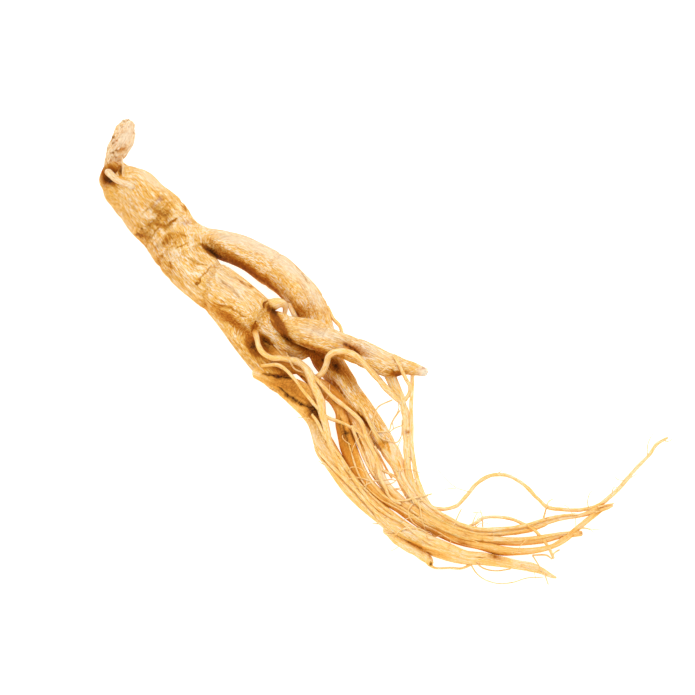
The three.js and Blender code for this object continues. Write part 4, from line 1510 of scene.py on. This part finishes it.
class SweptLimb(Piece):
    """One leg or branch as a closed, wrinkled sweep."""

    MARKS: tuple[Mark, ...] = LEG_MARKS
    FOLDS: tuple[Fold, ...] = CREVICES
    FRAY = 0.8
    FRAY_SIZE = 0.8
    FRAY_LENGTH = 3

    def __init__(self, name: str, finish: bpy.types.Material, limb: Grown, others: list[Course],
                 spacing: float = 0.46, gloom: float = 0.35) -> None:
        """Takes the limb, and gives each ring an even number of points: its girth over the spacing.

        Args:
            name: The piece's name.
            finish: Its material.
            limb: The limb.
            others: The limbs that close it in.
            spacing: The distance between points.
            gloom: How much shade is painted on the skin beside the others.
        """
        super().__init__(name, finish)
        self.limb, self.others, self.gloom = limb, others, gloom
        self.sides = int(math.ceil(2 * math.pi * limb.course.radius.max() / spacing / 2) * 2)

    def surface(self) -> Surface:
        """Sweeps, wrinkles and stains the limb.

        Returns:
            The limb's skin.
        """
        surface = sweep(self.limb.course, self.sides)
        wrinkle(surface, self.limb.hide, self.limb.shift, self.limb.ahead)
        # Shade is painted where the other limbs close the skin in.
        surface.stain(Stain.HOLLOW, self.gloom * crowding(surface.points, self.others))
        apply_marks(surface, self.MARKS, self.FOLDS)
        return surface

    def fray(self, surface: Surface, seed: int, beyond: float, fibre: float) -> np.ndarray:
        """Moves the end along the limb by FRAY * noise * ease, so that it is ragged.

        Args:
            surface: The limb's skin.
            seed: The noise's seed.
            beyond: How far past the end the move is full.
            fibre: The noise's size along the limb.

        Returns:
            How near the end each point is, from 0 to 1.
        """
        course = self.limb.course
        end = course.along[-1]
        near_end = ease(surface.grain[:, 0], end - self.FRAY_LENGTH, end + beyond)
        ragged = Noise(seed).at(surface.grain / (fibre, self.FRAY_SIZE, self.FRAY_SIZE))
        surface.points += course.tangent[-1] * (near_end * ragged * self.FRAY)[:, None]
        return near_end


class BrokenBranch(SweptLimb):
    """The thick branch that lies across the legs and ends in a pale, frayed break."""

    MARKS = BRANCH_MARKS
    FOLDS = ()

    def surface(self) -> Surface:
        """Sweeps the branch, frays its end and bares it.

        Returns:
            The branch's skin.
        """
        surface = super().surface()
        near_end = self.fray(surface, 91, 1, 40)
        surface.stain(Stain.BARE, 0.5 * near_end)
        surface.stains[Stain.HOLLOW] *= 1 - 0.7 * near_end
        return surface


class CrownNeck(SweptLimb):
    """The dry, fibrous stub of the stem on the crown, paler than the skin."""

    MARKS = NECK_MARKS
    FOLDS = ()
    PIT_SIZE = 1.2
    PIT_DEPTH = 0.45

    def surface(self) -> Surface:
        """Sweeps the stub, frays its top and pits it where a noise is high and the skin isn't bare.

        Returns:
            The stub's skin.
        """
        surface = super().surface()
        self.fray(surface, 95, 2, 30)
        pits = ease(Noise(96).at(surface.grain / self.PIT_SIZE), 0.34, 0.56)
        pits *= np.clip(1 - 1.4 * surface.stains[Stain.BARE], 0, 1)
        surface.points -= surface.normals * (self.PIT_DEPTH * pits)[:, None]
        surface.stain(Stain.BRUISE, 0.9 * pits)
        return surface


class Strands(Piece):
    """Several slim strands in one mesh."""

    SEED = 200
    SWELL = 0.22
    SHIFT = 3.7
    GLOOM = 0.18
    SHADE_REACH = 0.9

    def __init__(self, name: str, finish: bpy.types.Material, courses: list[Course], sides: int,
                 others: list[Course], hide: Hide | None = ROOTLET_SKIN, stained: bool = True) -> None:
        """Takes the strands' courses, the limbs that close them in, their relief and stains.

        Args:
            name: The piece's name.
            finish: Its material.
            courses: The strands' courses.
            sides: Points round each strand.
            others: The limbs that close them in.
            hide: Their relief, if they have one.
            stained: Whether the marks count for them.
        """
        super().__init__(name, finish)
        self.courses, self.sides, self.others = courses, sides, others
        self.hide, self.stained = hide, stained

    def surface(self) -> Surface:
        """Sweeps each strand with a thickness that varies along it, then wrinkles and stains them all.

        Returns:
            The skin of all strands.
        """
        parts = []
        for number, course in enumerate(self.courses):
            noise = Noise(self.SEED + number)

            def swell(along: np.ndarray, angle: np.ndarray, noise: Noise = noise) -> np.ndarray:
                """1 + SWELL * noise along the strand, and a little about it."""
                flat = np.stack([along / 4, 1.2 * np.cos(angle), 1.2 * np.sin(angle)], axis=-1)
                return 1 + self.SWELL * noise.at(flat.reshape(-1, 3)).reshape(along.shape)

            part = sweep(course, self.sides, swell, cap_rings=2)
            if self.hide is not None:
                wrinkle(part, self.hide, self.SHIFT * number)
            parts.append(part)
        surface = Surface.joined(parts)
        # Shade is painted where the other limbs close the strands in.
        closed_in = crowding(surface.points, self.others, self.SHADE_REACH)
        surface.stain(Stain.HOLLOW, self.GLOOM * closed_in)
        if self.stained:
            apply_marks(surface)
        return surface


@dataclass(frozen=True)
class Thread:
    """A hair or thin thread by its drawn course, lying on what is under it, with its two radii."""

    line: tuple[tuple[float, float], ...]
    thick: float = 0.3
    thin: float = 0.15
    lift: float = 0.0

    def course(self, limbs: list[Course], step: float = 0.8) -> Course:
        """Drapes the line on the limbs, as taut as a dry hair.

        No point is lower than halfway between its neighbours.

        Args:
            limbs: What the thread lies on.
            step: The distance between stations.

        Returns:
            The thread's course.
        """
        flat = Limb(tuple((right, down, 0.0, 1.0) for right, down in self.line)).course(step)
        drawn = DRAWING.read(flat.middle)
        resting = skin_heights(drawn, limbs) + self.thick * 0.7
        height = resting.copy()
        for _ in range(len(height)):
            height[1:-1] = np.maximum(resting[1:-1], (height[:-2] + height[2:]) / 2)
        share = np.linspace(0, 1, len(height))
        height = height + self.lift * share**2
        middle = DRAWING.place(np.column_stack([drawn, height]))
        radius = self.thick + (self.thin - self.thick) * share
        return Course(flat.limb, middle, radius, lengths_along(middle))


THREADS = tuple(Thread(*row) for row in (
    (((116.8, 112), (111.2, 114.8), (109.6, 119.2), (109.2, 122), (112, 126.8), (116, 128.4),
      (118.8, 128.8), (120.4, 126.4), (120.8, 120)), 0.3, 0.25),
    (((108.7, 126.5), (110.1, 124.8), (112.4, 124.7), (115.4, 124.4), (116.6, 121.2), (118.3, 118.4),
      (119.9, 116.3)), 0.25, 0.3),
    (((115.8, 124.8), (117.9, 123.2), (120.7, 122.2)), 0.2, 0.25),
    (((117.4, 123.4), (117, 120.4), (118.6, 117.6)), 0.14, 0.2),
    (((99.1, 143.7), (102, 142.8), (105.2, 143.3), (108.4, 144.1), (110.9, 144.1), (116.7, 143.7),
      (118.3, 144.1)), 0.28, 0.2),
    (((101.2, 146.1), (104, 147.2), (106.4, 145.7), (109.3, 144.5), (111.8, 144.3)), 0.25, 0.2),
    (((113.4, 145.7), (116.2, 145.3), (118.3, 144.1), (119.1, 142), (121.6, 139.2), (124, 139.6),
      (127.9, 141)), 0.2, 0.15),
    (((117.9, 152), (121.6, 152), (124.8, 151.2), (127.3, 150.6), (132.6, 149.4)), 0.45, 0.3),
    (((124.8, 151), (127.3, 152.2), (129.3, 151.8), (130.9, 150.2)), 0.35, 0.2),
    (((124.8, 153.5), (123.2, 155.9), (123.8, 158.8), (125.6, 161.2), (128.1, 162.8)), 0.35, 0.3),
    (((127.3, 152.6), (128.1, 155.9), (128.5, 159.2), (129.7, 162.8), (130.2, 164.1)), 0.4, 0.3),
    (((147.7, 148.6), (142, 146.7), (138.3, 143.3), (134.8, 139.6)), 0.16, 0.1, 2.5),
    (((142.4, 147.4), (139.5, 147.2), (137.5, 147.8)), 0.12, 0.1, 1.0),
    (((177.2, 158.9), (178.4, 154.4), (179.2, 152.4), (180.9, 151.4)), 0.45, 0.2, 1.5),
    (((149.2, 156.8), (151.6, 156.9), (154.2, 157)), 0.15, 0.1),
    (((148.1, 177.4), (150.3, 180.8), (153.7, 183.4), (159.3, 185), (164.9, 184.5), (170.5, 182.8),
      (176.7, 182.5)), 0.3, 0.2),
    (((150.3, 176.9), (153.1, 178.9), (158.2, 180), (163.8, 179.2)), 0.3, 0.3),
    (((172.8, 173.8), (178.4, 173.8), (180.6, 175.2), (181.2, 173), (183.4, 171.6)), 0.35, 0.3),
    (((172.8, 174.1), (175, 177.4), (177.2, 180.8), (178.9, 185.3)), 0.3, 0.25),
    (((139.1, 173.5), (139.4, 170.2), (140.2, 167.9)), 0.25, 0.2),
    (((198, 156.6), (201, 155.4), (204, 154.4)), 0.5, 0.25, 0.6),
    (((199, 154.6), (202, 153.8), (205.2, 153.2)), 0.5, 0.25, 0.8),
    (((110.8, 137.2), (111.6, 142), (113.6, 146), (116, 150.8), (120, 153.2)), 0.8, 0.6),
    (((113.2, 140), (116.4, 141.6), (120.8, 144.8), (124.4, 150), (125.6, 153.2)), 0.6, 0.5),
    (((152.9, 162.4), (152.6, 158), (151.8, 155.6)), 0.3, 0.15, 2.0),
    (((148.6, 161.6), (149.8, 158.6), (150.8, 156.8)), 0.3, 0.15, 2.0),
    (((141.2, 162), (143, 158.2), (144.4, 155.4)), 0.35, 0.2, 2.4),
    (((74.6, 93.2), (76.2, 96.8), (77.6, 99.3), (79.2, 100.3), (81.4, 100.9)), 0.42, 0.32),
    (((69.7, 90), (71.4, 92), (73, 93.9)), 0.4, 0.3),
    (((114.7, 165.5), (117.7, 165.7), (119.8, 164.1), (121.8, 163.1), (124.3, 162.9), (127.1, 163.1),
      (129.2, 163.9), (131.6, 165.5), (134.1, 166.3)), 0.45, 0.35),
    (((130.2, 164.1), (132, 164.7), (134.3, 166.3), (135.7, 165.9), (136.7, 166.1)), 0.3, 0.2),
    (((130.6, 165.9), (131.2, 167.3), (133.4, 167.5)), 0.2, 0.15),
    (((119.2, 111.7), (119.5, 115.4), (118.4, 118)), 0.25, 0.2),
    (((114.9, 98.8), (113.6, 99.8), (112.4, 101)), 0.5, 0.3, 0.5),
    (((118, 95.2), (119.6, 98), (121, 101), (122.4, 103.8)), 0.7, 0.7),
    (((109.8, 130.6), (112.4, 135.4), (114.6, 139.6), (116.6, 143)), 0.5, 0.45),
    (((100.8, 122.6), (102.4, 127), (104.2, 131.6), (106.4, 136.6), (109.6, 142)), 0.75, 0.6),
))


@dataclass(frozen=True)
class Clinging:
    """Strands that cling to a limb: how many, over which lengths, the least length and the two radii."""

    limb: str
    count: int
    start: float
    end: float
    shortest: float
    thin: float
    thick: float

    LONGEST = 2.2
    SPREAD = 0.9
    TWIST = 0.7
    SWAY = 0.3
    SWAY_LENGTHS = (7, 12)
    TAPER = 0.55
    RAISED = 0.25
    SUNK = 1.6
    LOWEST = 0.8

    def strand(self, limb: Course, rng: np.random.Generator) -> Course:
        """Lays one strand on the upper side of a limb, partly in it and sunk at both ends.

        middle = limb's middle + (cos(angle) normal + sin(angle) side) * (reach + RAISED radius - sunk).

        Args:
            limb: The limb that it lies on.
            rng: The seeded generator.

        Returns:
            The strand's course.
        """
        start = rng.uniform(self.start, self.end - self.shortest)
        end = rng.uniform(start + self.shortest, start + self.LONGEST * self.shortest)
        kept = limb.cut(start, min(end, limb.along[-1]))
        share = np.linspace(0, 1, len(kept.along))
        up = np.arctan2(kept.side @ DRAWING.toward_viewer, kept.normal @ DRAWING.toward_viewer)
        angle = up + rng.uniform(-self.SPREAD, self.SPREAD) + rng.uniform(-self.TWIST, self.TWIST) * share
        sway = np.sin(kept.along / rng.uniform(*self.SWAY_LENGTHS) + rng.uniform(0, 6))
        angle = angle + self.SWAY * sway
        thickness = rng.uniform(self.thin, self.thick)
        fullness = np.sin(math.pi * np.clip(share * 1.1, 0, 1)) ** 0.5
        radius = thickness * (self.TAPER + (1 - self.TAPER) * fullness)
        sunk = self.SUNK * thickness * (1 - ease(share, 0, 0.1) * ease(1 - share, 0, 0.07))
        reach = limb.limb.reach(kept.radius, kept.along, angle) + self.RAISED * radius - sunk
        out = np.cos(angle)[:, None] * kept.normal + np.sin(angle)[:, None] * kept.side
        middle = kept.middle + out * reach[:, None]
        middle[:, 2] = np.maximum(middle[:, 2], radius * self.LOWEST)
        return Course(Limb(()), middle, radius, kept.along - kept.along[0])


CLINGING = (
    Clinging("right_tail", 5, 8, 112, 45, 0.5, 0.9), Clinging("third_leg", 5, 52, 170, 50, 0.5, 0.9),
    Clinging("main_tail", 2, 30, 170, 45, 0.4, 0.7), Clinging("inner_leg", 2, 40, 170, 45, 0.4, 0.7),
    Clinging("lower_leg", 2, 10, 84, 30, 0.4, 0.7),
)


@dataclass(frozen=True)
class FineHairs:
    """Short, curling hairs scattered over the tail's limbs. Pairs are the least and the most."""

    count: int = 46
    limbs: tuple[str, ...] = ("right_tail", "third_leg", "main_tail", "inner_leg", "lower_leg", "rootlet")
    lengths: tuple[float, float] = (3, 11)
    bends: tuple[float, float] = (0.05, 0.28)
    radii: tuple[float, float] = (0.14, 0.26)
    tip: float = 0.1
    step: float = 0.8
    slant: float = 0.9
    lowest: float = 0.3

    def hair(self, limb: Course, rng: np.random.Generator) -> Course:
        """Starts a hair on the skin, slantwise along the limb, and bends it.

        Its direction turns at a steady rate about a random axis: cos(turn) direction + sin(turn) bend.

        Args:
            limb: The limb that it grows from.
            rng: The seeded generator.

        Returns:
            The hair's course.
        """
        station = rng.integers(len(limb.middle) // 4, len(limb.middle) - 3)
        angle = rng.uniform(-math.pi, math.pi)
        out = math.cos(angle) * limb.normal[station] + math.sin(angle) * limb.side[station]
        # No hair leaves the under side, where the table is.
        if out[2] < -0.1:
            out = -out
        start = limb.middle[station] + out * limb.radius[station] * 0.9
        direction = 0.8 * out + rng.uniform(-self.slant, self.slant) * limb.tangent[station]
        direction /= np.linalg.norm(direction)
        bend = np.cross(direction, rng.normal(size=3))
        bend /= np.linalg.norm(bend)
        length = rng.uniform(*self.lengths)
        step = np.linspace(0, length, max(6, int(length / self.step)))
        turn = step * rng.uniform(*self.bends)
        path = np.cos(turn)[:, None] * direction + np.sin(turn)[:, None] * bend
        middle = start + np.vstack([np.zeros(3), np.cumsum(path[:-1] * np.diff(step)[:, None], axis=0)])
        middle[:, 2] = np.maximum(middle[:, 2], self.lowest)
        radius = np.linspace(rng.uniform(*self.radii), self.tip, len(step))
        return Course(Limb(()), middle, radius, step)

    def courses(self, limbs: dict[str, Course], rng: np.random.Generator) -> list[Course]:
        """The hairs' courses, on each of the limbs in turn."""
        return [self.hair(limbs[self.limbs[i % len(self.limbs)]], rng) for i in range(self.count)]


# The stage

@dataclass(frozen=True)
class TableTop:
    """A sheet of matt opal acrylic over a dim light box: the eye gets a faint tooth and faint shadows."""

    half_width: float = 3.0
    opal: str = "#C8C8C6"
    lamp: str = "#FFFEFC"
    lit: float = 0.86

    LINES = 25

    def make(self) -> None:
        """Lays a flat grid just under the root and gives it the sheet's finish."""
        line = np.linspace(-self.half_width, self.half_width, self.LINES)
        x, y = np.meshgrid(line, line, indexing="ij")
        points = np.stack([x, y, np.zeros_like(x)], axis=-1).reshape(-1, 3)
        index = np.arange(len(points)).reshape(x.shape)
        quads = np.stack([index[:-1, :-1], index[1:, :-1], index[1:, 1:], index[:-1, 1:]], axis=-1)
        mesh = mesh_of("table_top", points, quads.reshape(-1, 4).tolist())
        material = blank_material("matt_opal_acrylic")
        tree = material.node_tree
        place = add_node(tree, "TexCoord", output="Object")
        tooth = add_node(tree, "TexNoise", inputs={"Vector": place, "Scale": 900.0})
        low = {"Strength": 0.15, "Distance": 0.05 * MM, "Height": tooth}
        bump = add_node(tree, "Bump", inputs=low)
        shader = add_node(tree, "BsdfPrincipled", inputs={
            "Base Color": linear(self.opal), "Roughness": 0.9, "Normal": bump, "Specular IOR Level": 0.1,
            "Emission Color": linear(self.lamp), "Emission Strength": self.lit})
        add_node(tree, "OutputMaterial", inputs=(shader,))
        mesh.materials.append(material)
        add_object("table_top", mesh)


@dataclass(frozen=True)
class Studio:
    """Soft light from above and behind, a weak fill, and a far camera at the drawn view's slant."""

    sensor: float = 36.0
    lens: float = 1500.0
    frame_width: float = 278.0
    looked_at: tuple[float, float] = (99.0, 91.0)
    sky: float = 0.98

    @staticmethod
    def light(name: str, place: tuple[float, float, float], size: float, power: float, shade: str) -> None:
        """Hangs a square light whose -Z axis points at the root.

        Args:
            name: The light's name.
            place: Where it hangs, in metres.
            size: Its width in metres.
            power: Its power in watts.
            shade: Its colour.
        """
        lamp = bpy.data.lights.new(name, "AREA")
        lamp.size, lamp.energy, lamp.color = size, power, linear(shade)[:3]
        hung = add_object(name, lamp)
        hung.location = place
        hung.rotation_euler = (-hung.location).to_track_quat("-Z", "Y").to_euler()

    def make(self) -> None:
        """Sets the world, the lights and the camera: its distance is the frame's width * lens / sensor."""
        scene = bpy.context.scene
        world = bpy.data.worlds.new("white_room")
        world.use_nodes = True
        background = world.node_tree.nodes["Background"]
        background.inputs["Color"].default_value = linear("#FFFDF9")
        background.inputs["Strength"].default_value = self.sky
        scene.world = world
        scene.view_settings.view_transform = "Standard"
        self.light("key", (0.35, 0.75, 1.2), 0.9, 6.2, "#FFF8EC")
        self.light("fill", (-0.8, -0.9, 1.0), 1.2, 3.4, "#FFFDFA")
        aim = DRAWING.place(np.array([*self.looked_at, 0.0])) * MM
        distance = self.frame_width * self.lens / self.sensor * MM
        lens = bpy.data.cameras.new("camera")
        lens.sensor_width, lens.lens, lens.clip_end = self.sensor, self.lens, 100
        camera = add_object("camera", lens)
        camera.location = aim + DRAWING.toward_viewer * distance
        camera.rotation_euler = (math.pi / 2 - DRAWING.slant, 0, 0)
        scene.camera = camera


FINE_STEP = 0.4
LONGEST_ROOTLET = 8


def main() -> None:
    """Builds the root's pieces in order, from the body to the hairs, and the stage."""
    logging.basicConfig(level=logging.INFO, format="%(message)s")
    TableTop().make()
    Studio().make()
    finishes = (SKIN_FINISH, TAIL_FINISH, ROOTLET_FINISH, NECK_FINISH, HAIR_FINISH)
    skin, tail, rootlet, stub, hair = (finish.build() for finish in finishes)
    # Each limb's name and course, the distance between its stations, its skin, shift and grain's start.
    limbs = {name: Grown(limb.course(step), *rest) for name, limb, step, *rest in (
        ("body", BODY, 0.6, MAIN_SKIN, 0, 0), ("right_leg", RIGHT_LEG, 0.6, RIGHT_SKIN, 0, 31.7),
        ("third_leg", THIRD_LEG, 0.55, TAIL_SKIN, 0, 65),
        ("main_tail", MAIN_LEG_TAIL, 0.55, MAIN_SKIN, 0, 98.6),
        ("right_tail", RIGHT_LEG_TAIL, 0.55, RIGHT_SKIN, 0, 127.3),
        ("inner_leg", INNER_LEG, 0.55, TAIL_SKIN, 115, 0),
        ("lower_leg", LOWER_LEG, 0.55, TAIL_SKIN, 138, 0),
        ("branch", BRANCH_STUB, 0.5, SKIN, 161, 0),
    )}

    def without(*names: str) -> list[Course]:
        """The limbs' courses apart from the named ones."""
        return [limb.course for name, limb in limbs.items() if name not in names]

    RootBody(skin, limbs).make()
    # Each leg's name, the limb that it leaves, and how much shade is painted on it beside the others.
    for name, near, gloom in (("third_leg", "body", 0.2), ("inner_leg", "", 0.45), ("lower_leg", "", 0.35),
                              ("main_tail", "body", 0.3), ("right_tail", "right_leg", 0.2)):
        limb = limbs[name]
        if name in JOINS:
            limb = limb.part(JOINS[name].at, math.inf, RootBody.THIN_END)
        SweptLimb(name, tail, limb, without(name, near), gloom=gloom).make()
    # The branch gets shade painted where the legs close it in.
    BrokenBranch("broken_branch", skin, limbs["branch"], without("branch"), gloom=0.35).make()
    neck = Grown(NECK.course(FINE_STEP), NECK_SKIN, 31)
    CrownNeck("crown_neck", stub, neck, [], FINE_STEP).make()
    everything = without()
    courses = {name: limb.course for name, limb in limbs.items()}
    rootlets = [limb.course(0.6).wander(0.22, 7, 300 + 2 * i) for i, limb in enumerate(ROOTLETS)]
    Strands("rootlets", rootlet, [*rootlets, KNOB.course(FINE_STEP)], 14, everything).make()
    crown_fibres = [CROWN_SPUR.course(FINE_STEP), CROWN_FIBRE.course(FINE_STEP)]
    Strands("crown_fibres", stub, crown_fibres, 12, [], ROOTLET_SKIN, stained=False).make()
    rng = np.random.default_rng(4)
    clinging = [group.strand(courses[group.limb], rng) for group in CLINGING for _ in range(group.count)]
    Strands("tail_strands", rootlet, clinging, 14, everything).make()
    resting_on = [*everything, *rootlets]
    threads = [thread.course(resting_on) for thread in THREADS]
    hairs = FineHairs().courses(courses | {"rootlet": rootlets[LONGEST_ROOTLET]}, rng)
    Strands("root_hairs", hair, [*threads, *hairs], 6, [], None).make()


if __name__ == "__main__":
    main()
